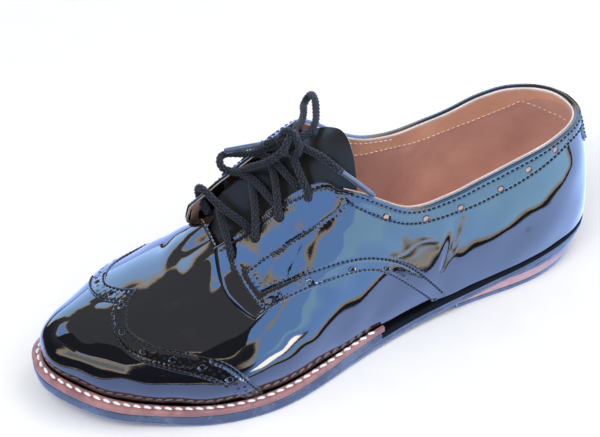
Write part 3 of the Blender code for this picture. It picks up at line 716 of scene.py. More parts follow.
WING_HALF = 190
wing_front, wing_back = wing_lines(WING_HALF)
on_vamp = ground(vamp)
wing_share = shares(WING_WIDTH, WING_STEP)[None, :, None]
wing_base, wing_up = on_vamp(between(wing_front[:, None], wing_back[:, None], wing_share))
wing = lay_panel("wing", lambda lift: wing_base + wing_up * lift[..., None], wing_base.shape[:2],
                 WING_THICKNESS, PATENT, ("low", "high"))
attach(wing, "root")


def search_tree(spots):
    """Finds the nearest of many spots."""
    spots = list(spots)
    tree = KDTree(len(spots))
    for k, spot in enumerate(spots):
        tree.insert(spot, k)
    tree.balance()
    return tree


def punch(obj, holes, radius, depth=0.7 * MM):
    """Round holes through a thin panel, with turned-down rims. Holes are in the shoe's measures."""
    bm = bmesh.new()
    bm.from_mesh(obj.data)
    bm.verts.ensure_lookup_table()
    tree = search_tree(vert.co for vert in bm.verts)
    gone, rims = set(), []
    for hole in map(Vector, to_world(holes)):
        _, nearest, _ = tree.find(hole)
        gone |= {index for _, index, _ in tree.find_range(hole, radius)}
        rims.append((hole, bm.verts[nearest].normal.copy()))
    bmesh.ops.delete(bm, geom=[bm.verts[index] for index in gone], context="VERTS")
    edges = [edge for edge in bm.edges if edge.is_boundary]
    for centre, up in rims:
        loop = [edge for edge in edges if all((v.co - centre).length < 2.1 * radius for v in edge.verts)]
        for vert in {v for edge in loop for v in edge.verts}:
            arm = vert.co - centre
            rise = arm.dot(up)
            arm -= up * rise
            vert.co = centre + arm.normalized() * radius + up * (rise - 0.1 * MM)
        wall = bmesh.ops.extrude_edge_only(bm, edges=loop)["geom"]
        for vert in (g for g in wall if isinstance(g, bmesh.types.BMVert)):
            vert.co -= up * depth
    bm.to_mesh(obj.data)
    bm.free()


def joined(name, pieces, material):
    """One mesh of many small ones, each given as points and faces."""
    points, faces, count = [], [], 0
    for spots, around in pieces:
        points.append(spots)
        faces += [np.asarray(face) + count for face in around]
        count += len(spots)
    return make_piece(name, np.concatenate(points), faces, material)


def frame_at(up, way):
    """Sideways and forward directions square to an upward one."""
    way = unit(way - up * (way * up).sum(-1, keepdims=True))
    return np.cross(up, way), way


# One stitch: place along it and thickness as shares; its ends dip and its middle rises by shares
# of the thread's width.
STITCH = ((-1.0, 0.25), (-0.85, 0.72), (-0.5, 0.95), (0.0, 1.0), (0.5, 0.95), (0.85, 0.72), (1.0, 0.25))
STITCH_DIP = 0.35
STITCH_RISE = 0.18


def thread(name, rest, path, material, pitch=2.1 * MM, length=1.6 * MM, width=0.82 * MM, sink=0.0, slant=0.0,
           ends=(0.0, 0.0)):
    """A row of stitches along a path: short plump threads that dip into the leather at both ends."""
    way = travel(path)
    count = max(1, int((way[-1] - sum(ends)) / pitch))
    middles = ends[0] + (way[-1] - sum(ends)) * (np.arange(count) + 0.5) / count
    aims = at_ways(middles + 0.5 * MM, way, path) - at_ways(middles - 0.5 * MM, way, path)
    base, up = rest(at_ways(middles, way, path))
    side, forward = frame_at(up, aims)
    if slant:
        c, s = math.cos(math.radians(slant)), math.sin(math.radians(slant))
        side, forward = c * side + s * forward, c * forward - s * side
    turns = np.append(np.arange(8) * math.pi / 4, 0.0)
    faces = grid_faces(len(STITCH), len(turns))
    template = np.array([(ring * length / 2, size * width / 2 * math.cos(turn),
                          size * width / 2 * math.sin(turn) - (ring ** 2) * width * STITCH_DIP)
                         for ring, size in STITCH for turn in turns])
    pieces = [(spot + template[:, :1] * ahead + template[:, 1:2] * aside
               + (template[:, 2:] + width * STITCH_RISE - sink) * upward, faces)
              for spot, aside, ahead, upward in zip(base, side, forward, up)]
    return joined(name, pieces, material)


SEAM_STEP = 0.35 * MM             # spacing of the points that stand for a seam
SEAM_REACH = 2.3 * MM             # the crimped leather reaches this far from it
PUCKER_PLACE = 1.3 * MM
PUCKER_WIDTH = 1.0 * MM


def press_seams(obj, paths, depth=0.28 * MM, width=0.75 * MM, pitch=2.1 * MM, pucker=0.06 * MM):
    """Seams pull the leather in and pucker it; the reach of each is kept as an attribute."""
    samples = np.concatenate([along(path, max(2, int(travel(path)[-1] / SEAM_STEP))) for path in paths])
    tree = search_tree(to_world(samples))
    mesh = obj.data
    reach = np.zeros(len(mesh.vertices))
    moved = np.empty((len(mesh.vertices), 3))
    for vert in mesh.vertices:
        _, index, far = tree.find(vert.co)
        beside = math.exp(-((far - PUCKER_PLACE) / PUCKER_WIDTH) ** 2)
        ripple = pucker * math.cos(2 * math.pi * index * SEAM_STEP / pitch) * beside
        pull = depth * math.exp(-(far / width) ** 2) + ripple
        moved[vert.index] = np.array(vert.co) - np.array(vert.normal) * pull
        reach[vert.index] = math.exp(-(far / SEAM_REACH) ** 2)
    mesh.vertices.foreach_set("co", moved.ravel())
    mesh.attributes.new("seam", "FLOAT", "POINT").data.foreach_set("value", reach)
    mesh.update()


def thread_material(name, dark, light, roughness):
    """Twisted waxed thread, the light tone where the twist catches."""
    material, tree, shader = new_material(name)
    twist = noise(tree, object_place(tree), 1500.0)
    feed(tree, shader, {"Base Color": blend(tree, twist, dark, light), "Roughness": roughness,
                        "Normal": bump(tree, twist, 0.6, 0.1 * MM)})
    return material


BLACK_THREAD = thread_material("black_thread", colour(14, 14, 18), colour(44, 46, 56), 0.35)
WAXED_THREAD = thread_material("waxed_thread", colour(90, 84, 72), colour(168, 158, 140), 0.4)
on_wing = ground(wing)
wing_rows = [on_wing(between(wing_front, wing_back, share))[0] for share in (0.13, 0.87)]
wing_threads = [thread(f"wing_thread_{k}", on_wing, row, BLACK_THREAD, sink=0.1 * MM)
                for k, row in enumerate(wing_rows)]
press_seams(wing, wing_rows)


# A small hole is drawn as a cup with a raised rim, coloured dark as painted shade for its depth: share of its
# radius, height.
CUP = ((1.35, 0.03), (1.1, 0.1), (0.95, 0.09), (0.8, 0.01), (0.3, -0.02))


def patches(name, rest, spots, radius, profile, sides, material):
    """Small round pieces that rest on another, one at each spot."""
    base, up = rest(spots)
    aside, ahead = frame_at(up, np.broadcast_to(np.array([1.0, 0.3, 0.2]), up.shape))
    turns = np.arange(sides + 1) * 2 * math.pi / sides
    last = (len(profile) - 1) * (sides + 1)
    faces = [*grid_faces(len(profile), sides + 1, flip=True), range(last + sides - 1, last - 1, -1)]
    pieces = [(np.array([spot + radius * out * (math.cos(t) * a + math.sin(t) * b) + high * MM * n
                         for out, high in profile for t in turns]), faces)
              for spot, n, a, b in zip(base, up, aside, ahead)]
    return joined(name, pieces, material)


LARGE_HOLE = 1.0 * MM             # radii
SMALL_HOLE = 0.5 * MM
LARGE_HOLE_PITCH = 12.6 * MM


def wing_spots():
    """Large holes at even steps along the wing's middle, and small ones in pairs between and beside them."""
    middle = (wing_front + wing_back) / 2
    across = unit(wing_back - wing_front)
    way = travel(middle)
    count = 2 * round(way[-1] / (2 * LARGE_HOLE_PITCH))
    large = (np.arange(count) + 0.5) / count * way[-1]
    large = large[(large > 5 * MM) & (large < way[-1] - 5 * MM)]
    between = (large[1:] + large[:-1]) / 2
    pairs = [at_ways(between + a * MM, way, middle) + b * MM * at_ways(between, way, across)
             for a, b in ((-0.2, -1.5), (0.2, 1.5))]
    singles = [at_ways(large + a * MM, way, middle) for a in (-3.3, 3.3)]
    return at_ways(large, way, middle), np.concatenate(pairs + singles)


wing_large, wing_small_spots = wing_spots()
wing_large = on_wing(wing_large)[0]
# Painted shade: near-black colour for the small holes and eyelets, standing in for the shadow inside them.
HOLE_PAINTED_SHADE = soft_leather("hole_painted_shade", colour(12, 12, 14), colour(30, 28, 30), 0.7)
punch(wing, wing_large, LARGE_HOLE)
wing_small = patches("wing_small_holes", on_wing, wing_small_spots, SMALL_HOLE, CUP, 12, HOLE_PAINTED_SHADE)
for part, finish in [(piece, "lace_black") for piece in wing_threads] + [(wing_small, "patent_black")]:
    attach(part, "root")

# ---------------------------------------------------------------- quarters
# One patent panel a side, joined at the back of the heel and laid over the vamp; the lower edge
# sweeps down from the lacing to the waist. The inner facing's front corner stands off.
QUARTER_THICKNESS = 0.8 * MM
QUARTER_HEIGHT = 62.0 * MM
FRONT_BOW = 5.2 * MM              # how far the front edge bows forwards between its corners
QUARTER_LOW_FRONT = 161.2 * MM
QUARTER_TOP_FRONT = 165.4 * MM
QUARTER_WIDENS = 120.0 * MM
QUARTER_STEP = 0.72 * MM
SWOOSH_END = 79.5 * MM            # behind it the quarter is lasted under
WAIST = 77.0 * MM                 # the seam along the lower edge ends here


def quarter_grid(step):
    """Places of both quarters, from the outer front edge round the heel to the inner one."""
    p = even_stations(-QUARTER_LOW_FRONT, QUARTER_LOW_FRONT, step)[::-1]
    s, side, _ = unfold(p, 0.0)
    first = half_section(s, side)["first"]
    low = np.maximum(np.where(s > SWOOSH_END, height_angle(s, SWOOSH_LOW(s)), first), first)
    ahead = np.clip((s - QUARTER_WIDENS) / (QUARTER_LOW_FRONT - QUARTER_WIDENS), 0, 1) ** 2
    top_p = p * (1 + (QUARTER_TOP_FRONT / QUARTER_LOW_FRONT - 1) * ahead)
    high = top_edge(top_p)
    v = shares(QUARTER_HEIGHT, step)[None, :]
    bow = FRONT_BOW * np.sin(math.pi * v) ** 0.9 * ahead[:, None] ** 2 * np.sign(p)[:, None]
    return between(p[:, None], top_p[:, None], v) + bow, between(low[:, None], high[:, None], v)


quarter_p, quarter_a = quarter_grid(QUARTER_STEP)
quarters = lay_panel("quarters", lambda lift: skin(quarter_p, quarter_a, lift + 0.05 * MM, True),
                     quarter_p.shape, QUARTER_THICKNESS, PATENT, ("low", "high", "start", "end"))
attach(quarters, "root")

on_quarters = ground(quarters)
# Sewn lines on a quarter: station, height.
SWOOSH_HIGH = ((155.6, 50.0), (147.8, 52.8), (134.6, 55.4), (121.0, 55.3), (109.6, 52.2), (96.2, 44.0),
               (87.7, 34.7), (79.0, 21.0), (75.0, 14.0))
BOX_LINE = ((113.6, 77.8), (134.3, 68.2), (150.0, 59.4), (158.2, 54.4))
FACING_SEAM = (112 * MM, 162.5 * MM, 2.6 * MM)    # first and last station, distance from the edge
BOX_END = ((158.2, 54.4), (157.2, 52.6), (155.6, 50.0))
SWOOSH_HOLES = ((153.0, 48.0), (136.0, 51.7), (117.0, 50.7), (101.2, 43.0))
SWOOSH_HOLE = 1.15 * MM           # radius


def quarter_line(points, side, step=0.5 * MM):
    """A line on one quarter, given by station and height."""
    line = smooth_path([(s, z, 0.0) for s, z in points], step)
    return skin(side * line[:, 0], height_angle(line[:, 0], line[:, 1]), QUARTER_THICKNESS, True)


def edge_line(side, start, end, inset):
    """A line at a distance inside a quarter's top or facing edge."""
    p = side * np.linspace(start, end, 240)
    a = top_edge(p)
    for _ in range(3):
        s, _, angle = unfold(p, a)
        drop = (last_point(p, a + 0.01) - last_point(p, a - 0.01)) / 0.02
        a = top_edge(p) - inset / np.linalg.norm(drop, axis=-1)
    return skin(p, a, QUARTER_THICKNESS, True)


quarter_flat = skin(quarter_p, quarter_a, QUARTER_THICKNESS, True)
waist_outer, waist_inner = (int(np.argmin(np.abs(quarter_p[:, 0] - p))) for p in (WAIST, -WAIST))
quarter_lines = []
for side, rows in ((1, slice(6, waist_outer)), (-1, slice(waist_inner, -6))):
    quarter_lines += [*(quarter_line(line, side) for line in (SWOOSH_HIGH, BOX_LINE, BOX_END)),
                      quarter_flat[rows, 6], edge_line(side, *FACING_SEAM)]
quarter_lines += [quarter_flat[7, 8:-8], quarter_flat[-8, 8:-8]]
UNEVEN_LINES = (3, 8, 11)         # these run over steps in the leather and are drawn in deeper
quarter_threads = [thread(f"quarter_thread_{k}", on_quarters, line, BLACK_THREAD,
                          sink=(0.28 if k in UNEVEN_LINES else 0.1) * MM)
                   for k, line in enumerate(quarter_lines)]
press_seams(quarters, quarter_lines)


def both_sides(spots, lift):
    """Spots given by station and height, on the outer and the inner side."""
    s, z = np.array(spots).T * MM
    return np.concatenate([skin(side * s, height_angle(s, z), lift, True) for side in (1, -1)])


punch(quarters, both_sides(SWOOSH_HOLES, QUARTER_THICKNESS), SWOOSH_HOLE)
for part in quarter_threads:
    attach(part, "root")

# ---------------------------------------------------------------- collar strip
# A strip of patent leather round the top of the shoe, sewn at both edges and punched with 2.6 mm
# holes over a tan underlay; it ends in the facing's sewn line, and a tab covers the back seam.
STRIP_THICKNESS = 0.6 * MM
STRIP_WIDTH = 10.0 * MM
STRIP_LOW = table(("station", "height"),
                  ((0, 68.4), (10.5, 68.0), (25, 63.5), (40, 59.2), (55, 56.2), (70, 55.6), (85, 57.6),
                   (92, 60.6), (100, 66.2), (107, 72.0), (113.6, 77.8)))
STRIP_HOLES = ((98.1, 67.5), (80.7, 59.6), (64.8, 58.9), (46.1, 61.5), (32.9, 66.3), (19.1, 69.7))
STRIP_HOLE = 1.3 * MM             # radii
UNDERLAY_PATCH = 1.6 * MM
STRIP_END = 132.0 * MM
STRIP_SKIVED = 17.0 * MM          # the leather is thinned over this way to its ends
STRIP_BEND = (113.6 * MM, 77.8 * MM)    # where the lower edge turns up the facing: station, height
STRIP_SLOPE = 0.4638


def strip_grid(step):
    """Places of the strip, from its outer end round the heel to the inner one."""
    p = even_stations(-STRIP_END, STRIP_END, step)[::-1]
    s, _, _ = unfold(p, 0.0)
    bend, level = STRIP_BEND
    low = np.where(s < bend, STRIP_LOW["height"](np.minimum(s, bend)), level - STRIP_SLOPE * (s - bend))
    a = between(height_angle(s, low)[:, None], top_edge(p)[:, None], shares(STRIP_WIDTH, step)[None, :])
    return np.broadcast_to(p[:, None], a.shape), a


strip_p, strip_a = strip_grid(0.5 * MM)
strip_lift = STRIP_THICKNESS * smooth((STRIP_END - np.abs(strip_p)) / STRIP_SKIVED)
collar_strip = lay_panel("collar_strip",
                         lambda lift: skin(strip_p, strip_a, lift + QUARTER_THICKNESS + 0.03 * MM, True),
                         strip_p.shape, strip_lift, PATENT, ("low", "high"), rounding=0.4 * MM)
strip_top = skin(strip_p, strip_a, strip_lift + QUARTER_THICKNESS, True)
on_strip = ground(collar_strip)
strip_rows = [strip_top[np.abs(strip_p[:, 0]) < STRIP_BEND[0], 6], strip_top[:, -8]]
strip_low_thread = thread("strip_low_thread", on_strip, strip_rows[0], BLACK_THREAD, sink=0.1 * MM)
strip_top_thread = thread("strip_top_thread", on_strip, strip_rows[1], BLACK_THREAD, pitch=2.3 * MM,
                          width=0.6 * MM, sink=0.08 * MM)
press_seams(collar_strip, strip_rows, pucker=0.04 * MM)
strip_spots = both_sides(STRIP_HOLES, QUARTER_THICKNESS + STRIP_THICKNESS)
punch(collar_strip, strip_spots, STRIP_HOLE, depth=0.5 * MM)
TAN_UNDERLAY = soft_leather("tan_underlay", colour(176, 146, 130), colour(206, 182, 166), 0.5,
                            pore_scale=1500.0)
# The underlay bulges up into each hole, a little hollow in the middle: share of its radius, height.
DISC = ((1.0, 0.14), (0.6, 0.09), (0.15, 0.06))
underlay = patches("hole_underlay", on_quarters, strip_spots, UNDERLAY_PATCH, DISC, 16, TAN_UNDERLAY)
for part, finish in ((collar_strip, "patent_black"), (underlay, "lining_tan"),
                     (strip_low_thread, "lace_black"), (strip_top_thread, "lace_black")):
    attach(part, "root")

TAB_HALF = 10.5 * MM
TAB_LOW = 56.0 * MM
TAB_LENGTH = 24.0 * MM
TAB_ROUND = 2.3
TAB_THICKNESS = 0.4 * MM


def make_tab(inset=0.0):
    """The tab over the back seam: a U of leather hanging from the top edge."""
    across = np.linspace(-1, 1, 47)[:, None]
    v = shares(TAB_LENGTH, 0.55 * MM, start=False)[None, :]
    round_off = 1 - np.clip(1 - v / 0.5, 0, 1) ** TAB_ROUND
    wide = (TAB_HALF - inset) * np.maximum(round_off, 1e-4) ** (1 / TAB_ROUND)
    way = np.interp(0.0, RIM_P, RIM_WAY) + across * wide
    p = np.interp(way, RIM_WAY, RIM_P)
    low = height_angle(np.abs(p), np.full(p.shape, TAB_LOW + inset))
    return p, between(low, top_edge(p), v)


tab_p, tab_a = make_tab()
heel_tab = lay_panel("heel_tab", lambda lift: skin(tab_p, tab_a, lift + QUARTER_THICKNESS + STRIP_THICKNESS),
                     tab_p.shape, TAB_THICKNESS, PATENT, ("high", "start", "end"), bury=0.7 * MM)
tab_seam = skin(*make_tab(inset=1.5 * MM), QUARTER_THICKNESS + STRIP_THICKNESS + TAB_THICKNESS)
tab_row = np.concatenate([tab_seam[0, -4:0:-1], tab_seam[-1, 1:-3]])
tab_thread = thread("tab_thread", ground(heel_tab), tab_row, BLACK_THREAD, sink=0.1 * MM)
press_seams(heel_tab, [tab_row])
for part, finish in ((heel_tab, "patent_black"), (tab_thread, "lace_black")):
    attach(part, "root")

# ---------------------------------------------------------------- lining
# Tan glove leather inside the quarters and facings, cut level with the top edge, where its cream
# raw edge shows; two cream stitch rows hold it. A plainer one lines the toe.
TONGUE_PATENT = patent("tongue_patent", grain=0.16, wave=1.6, depth=0.6, roughness=0.34, base=(27, 27, 24),
                       worn=(48, 48, 42), coat=0.0)
TONGUE_PATENT.node_tree.nodes["Principled BSDF"].inputs["Specular IOR Level"].default_value = 0.3
LINING_TAN = soft_leather("lining_tan", colour(192, 146, 134), colour(212, 164, 148), 0.5, pore_scale=1100.0,
                          wrinkle=0.7, depth=0.1, stain_scale=28.0, sheen=0.15)
# Painted light: a lighter, warmer copy of the lining for the band below the rim, standing in for sunlight
# inside the top.
LINING_PAINTED_SUNLIT = soft_leather("lining_collar_painted_light", colour(212, 158, 132), colour(230, 178, 150), 0.5,
                            pore_scale=1100.0, wrinkle=0.5, depth=0.08, stain_scale=28.0, sheen=0.15)
RAW_EDGE = soft_leather("raw_edge", colour(196, 178, 172), colour(226, 210, 202), 0.7, pore_scale=2200.0,
                        depth=0.15)
LINING_DEPTH = 2.0 * MM
FACING_THINNER = 1.0 * MM
FACING_FROM = 104 * MM


def lining_lift(p):
    """Where the lining's face lies below the leather; it is thinner in the facings."""
    s, _, _ = unfold(p, 0.0)
    return -LINING_DEPTH + FACING_THINNER * smooth((s - FACING_FROM) / (16 * MM))


def make_lining():
    """Inside of both quarters, from the last's feather to the top edge."""
    s, side, _ = unfold(quarter_p, 0.0)
    v = np.linspace(0, 1, quarter_p.shape[1])[None, :]
    a = between(half_section(s, side)["first"], quarter_a[:, -1:], v)
    return make_piece("lining", skin(quarter_p, a, lining_lift(quarter_p), True), grid_faces(*a.shape),
                      LINING_TAN)


lining = make_lining()
# The facings are backed with black leather; above the collar's seam the lining is a lighter, warmer copy of
# it, painted light for the sun falling in at the top.
INNER_SEAM = ((0.6, 70.5), (6, 70), (16, 67.0), (28, 60.4), (45, 56.8), (56, 56.1), (68, 56.8), (83, 60.6),
              (96, 63.2), (105, 71), (114, 80), (125, 95))
inner_seam = spline(*(np.array(INNER_SEAM).T * MM))
FACING_BACK, FACING_FRONT = 115 * MM, 164 * MM
lining.data.materials.append(TONGUE_PATENT)
lining.data.materials.append(LINING_PAINTED_SUNLIT)
for face in lining.data.polygons:
    station = STATION_AT_X0 - face.center.x
    if station > FACING_BACK and (station < FACING_FRONT or face.center.y < 0):
        face.material_index = 1
    elif face.center.z > inner_seam(station):
        face.material_index = 2
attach(lining, "root")


def edge_strip(name, lifts, rises, material, start=170 * MM):
    """A strip round the top edge from a station on the outer side to the inner facing's front and down it:
    lifts across it, rises beyond the edge."""
    rows = quarter_p[:, -1] < start
    (p, a), inside = ([np.concatenate([grid[rows, k], grid[k, -2:0:-1]]) for grid in (quarter_p, quarter_a)]
                      for k in (-1, -6))
    out = unit(skin(p, a, 0.0, True) - skin(*inside, 0.0, True))
    deep = -lining_lift(p)
    grid = np.stack([skin(p, a, lift if lift >= 0 else lift * deep, True) + rise * MM * out
                     for lift, rise in zip(lifts, rises)], 1)
    return make_piece(name, grid, grid_faces(*grid.shape[:2], flip=True), material)


turned_edge = edge_strip("turned_edge", (0.85 * MM, 0.8 * MM, 0.6 * MM, 0.3 * MM, 0.0, -0.25, -0.5, -0.56),
                         (-0.3, 0.1, 0.3, 0.38, 0.4, 0.36, 0.2, -0.3), PATENT)
raw_edge = edge_strip("lining_raw_edge", (-0.56, -0.6, -0.68, -0.84, -0.96, -1.0, -1.02),
                      (0.0, 0.5, 0.66, 0.64, 0.5, 0.2, -0.6), RAW_EDGE, start=113 * MM)
for strip, finish in ((turned_edge, "patent_black"), (raw_edge, "lining_tan")):
    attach(strip, "root")


TOE_LINING_BACK = 167.0 * MM
TOE_LINING_DEPTH = 1.2 * MM


def make_toe_lining():
    """Inside of the vamp from the throat to the toe."""
    p = round_toe(TOE_LINING_BACK, 2.5 * MM)
    s, side, _ = unfold(p, 0.0)
    first = half_section(s, side)["first"]
    top = np.where(s >= THROAT_FRONT - 0.5 * MM, math.pi / 2, top_edge(p))
    v = np.linspace(0, 1, 30)[None, :]
    a = between(first[:, None], top[:, None], v)
    pp = np.broadcast_to(p[:, None], a.shape)
    return make_piece("toe_lining", skin(pp, a, -TOE_LINING_DEPTH) + drawn_up(pp, a),
                      grid_faces(*a.shape, flip=True), LINING_TAN)


toe_lining = make_toe_lining()
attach(toe_lining, "root")

# ---------------------------------------------------------------- tongue
# Patent leather over a thin lining, sewn to the vamp under the throat; rounded top with a pale raw
# edge, standing above the facings.
TONGUE_FRONT = 173.0 * MM
TONGUE_TOP = 105.5 * MM
TONGUE_DEPTH = 3.0 * MM
TONGUE_THICKNESS = 1.6 * MM
TONGUE_CORNER = 7.0 * MM          # how far the rounded top falls away at its corners
TONGUE_RIPPLE = 0.25 * MM
TONGUE = table(("station", "half", "shift"),
               ((105, 22.0, 5.0), (130, 21.5, 2.0), (150, 19.0, 0.5), (165, 15.5, 0.0), (173, 13.0, 0.0)))


def instep_place(s, offset):
    """The place on the last above a plan point of the instep."""
    side = np.where(offset > LAST["ridge"](s), 1.0, -1.0)
    sec = half_section(s, side)
    goal = np.abs(offset - sec["ridge"])
    angle = np.arccos(np.minimum(1.0, goal / (sec["radius"] * (1 + sec["fullness"]))))
    for _ in range(14):
        reach = sec["radius"] * np.cos(angle) * (1 + sec["fullness"] * np.maximum(np.sin(angle), 0) ** 2)
        angle = angle + (reach - goal) / (sec["radius"] * np.maximum(np.sin(angle), 0.2))
        angle = np.minimum(angle, math.pi / 2)
    return side * s, angle


def make_tongue():
    """Top and bottom faces of the tongue, and the raw edge between them."""
    s = np.linspace(TONGUE_FRONT, TONGUE_TOP, 110)[:, None]
    share = np.linspace(-1, 1, 61)[None, :]
    near_top = np.maximum(0.0, 1 - (s - TONGUE_TOP) / (20 * MM))
    station = s + near_top ** 2 * TONGUE_CORNER * (share - 0.45) ** 2
    offset = LAST["ridge"](s) + TONGUE["shift"](s) + share * TONGUE["half"](s) * (1 - 0.12 * near_top ** 3)
    ripple = TONGUE_RIPPLE * np.sin(s / (7 * MM) + 2.5 * share) * np.cos(3.1 * share + s / (16 * MM))
    p, a = instep_place(station, offset)
    normal = outward(p, a)
    beside = smooth((math.pi / 2 - a) / np.maximum(math.pi / 2 - top_edge(p), 0.05))
    loose = np.where(p < 0, beside, 0.0) * smooth((169 * MM - s) / (16 * MM)) * 0.85
    base = last_point(p, a) + loose[..., None] * flap_open(p, np.minimum(a, top_edge(p)))
    top = base - normal * (TONGUE_DEPTH + ripple)[..., None]
    bottom = base - normal * (TONGUE_DEPTH + TONGUE_THICKNESS + ripple)[..., None]
    rows, columns = p.shape
    ring = np.concatenate([chain[:-1] for chain in border(rows, columns, ("low", "start", "high", "end"))])
    over, under = top.reshape(-1, 3)[ring], bottom.reshape(-1, 3)[ring]
    edge = np.stack([over, over * 0.5 + under * 0.5, under], 1)
    return (make_piece("tongue_face", top, grid_faces(rows, columns), TONGUE_PATENT),
            make_piece("tongue_lining", bottom, grid_faces(rows, columns, flip=True), LINING_TAN),
            make_piece("tongue_raw_edge", edge, grid_faces(*edge.shape[:2], wrap=True), RAW_EDGE))


tongue_face, tongue_lining, tongue_edge = make_tongue()
for part, finish in ((tongue_face, "patent_black"), (tongue_lining, "lining_tan"),
                     (tongue_edge, "lining_tan")):
    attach(part, "root")
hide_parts("tongue")

# ---------------------------------------------------------------- throat binding
# A narrow binding of patent leather runs from the vamp's throat up to the inner facing's loose
# corner, with waxed stitches along it.
BINDING_STATION = 164.8 * MM
BINDING_REACH = (-0.16, 0.37)     # from the outer side over the ridge to the inner side, radians
# Its section: forwards, sideways and up from the edge.
BINDING_SECTION = ((0.9, 0.3, -1.1), (0.7, 0.2, -0.4), (0.2, 0.0, 0.1), (-0.7, -0.2, 0.0), (-1.4, -0.6, -0.6),
                   (-2.6, -1.5, -1.9))


def make_binding():
    """The binding's grid, for its stitches, and the piece."""
    t = np.linspace(*BINDING_REACH, 70)
    p, a = BINDING_STATION * np.where(t < 0, 1, -1), math.pi / 2 - np.abs(t)
    edge = skin(p, a, 0.2 * MM) + drawn_up(p, a)
    grid = edge[:, None] + np.array(BINDING_SECTION)[None] * MM
    return grid, make_piece("throat_binding", grid, grid_faces(*grid.shape[:2]), PATENT)


binding_grid, binding = make_binding()
binding_thread = thread("binding_thread", ground(binding), binding_grid[3:-3, 2:4].mean(1), WAXED_THREAD,
                        width=0.6 * MM)
for part, finish in ((binding, "patent_black"), (binding_thread, "lace_black")):
    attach(part, "root")

# ---------------------------------------------------------------- lining seams
# Cream thread shows inside: a row near the rim, a row along the facing's inner edge and the heel
# pocket's seam, which drops in a small notch at the back.
CREAM_THREAD = thread_material("cream_thread", colour(206, 180, 150), colour(240, 222, 196), 0.6)


def lining_line(points, side):
    """A line on one side of the lining, given by station and height."""
    line = smooth_path([(s, z, 0.0) for s, z in points], 0.5 * MM)
    p = side * line[:, 0]
    return skin(p, height_angle(line[:, 0], line[:, 1]), lining_lift(p), True)


on_lining = ground(lining)
RIM_SEAM = ((110, 80.5), (105, 76.6), (99, 72.8), (91.5, 69.2), (86, 67.4), (76, 64.6))
POCKET_SEAM = ((16, 67.0), (9, 64.2), (5, 62.4), (0.6, 61.2))
inner_rows = [lining_line(points, side) for side in (1, -1)
              for points in (INNER_SEAM[2:-2], RIM_SEAM, POCKET_SEAM)]
cream_rows = [thread(f"lining_thread_{k}", on_lining, row, CREAM_THREAD, pitch=2.4 * MM, length=1.6 * MM,
                     width=0.42 * MM, sink=-0.1 * MM) for k, row in enumerate(inner_rows)]
for part in cream_rows:
    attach(part, "root")

# ---------------------------------------------------------------- outsole
# Black rubber sheet, 6 mm at the ball, its edge trimmed square with bevelled corners; the edge's upper part
# from the heel to the welt's end, and the sole's top beside the upper all round, are painted near black as
# shade. Its two layers' seam runs round it, and ribs cross the underside.


def rubber(name, dark, light, roughness, specular=0.5):
    """Black rubber, paler where it is scuffed."""
    material, tree, shader = new_material(name)
    place = object_place(tree)
    wear = noise(tree, place, 90.0, 7.0, 0.65)
    feed(tree, shader, {
        "Base Color": blend(tree, carry(tree, wear, 0.4, 0.7), dark, light),
        "Roughness": carry(tree, wear, low=roughness - 0.1, high=roughness + 0.12, ease="LINEAR"),
        "Specular IOR Level": specular,
        "Normal": bump(tree, noise(tree, place, 1100.0, 3.0), 0.5, 0.1 * MM)})
    return material


# Painted reflected light: the black rubber is coloured blue-grey, standing in for the bluish light it
# reflects; the sole, tread ribs, heel wedge and top piece all take it.
SOLE_PAINTED_BLUE = rubber("sole_black", colour(66, 76, 98), colour(94, 106, 132), 0.26)
# Painted shade: a near-black, dull copy of the rubber for where shadow falls along the sole's upper edge.
SOLE_PAINTED_SHADE = rubber("sole_painted_shade", colour(5, 6, 8), colour(12, 13, 17), 0.75, specular=0.15)
SHADED_SHARE = 0.6                 # the edge is painted near black as shade above this share of its height, from the heel to the welt's end
SHADED_END = 106.0 * MM            # from the heel to the welt's end


def tread_height(s):
    """Bottom of the sole: curved under the arch and the toe, flat on the floor at the ball."""
    return np.maximum(LAST["tread"](np.clip(s, 0, LENGTH)), 0.0)


# The edge's section: share of the height from the bottom, distance inside the edge.
SOLE_PROFILE = ((0.0, 1.3), (0.03, 0.75), (0.12, 0.4), (0.28, 0.22), (0.36, 0.15), (0.39, 0.26), (0.42, 0.26),
                (0.45, 0.06), (0.6, 0.0), (0.61, 0.02), (0.75, 0.04), (0.9, 0.08), (0.97, 0.3), (1.0, 0.8))


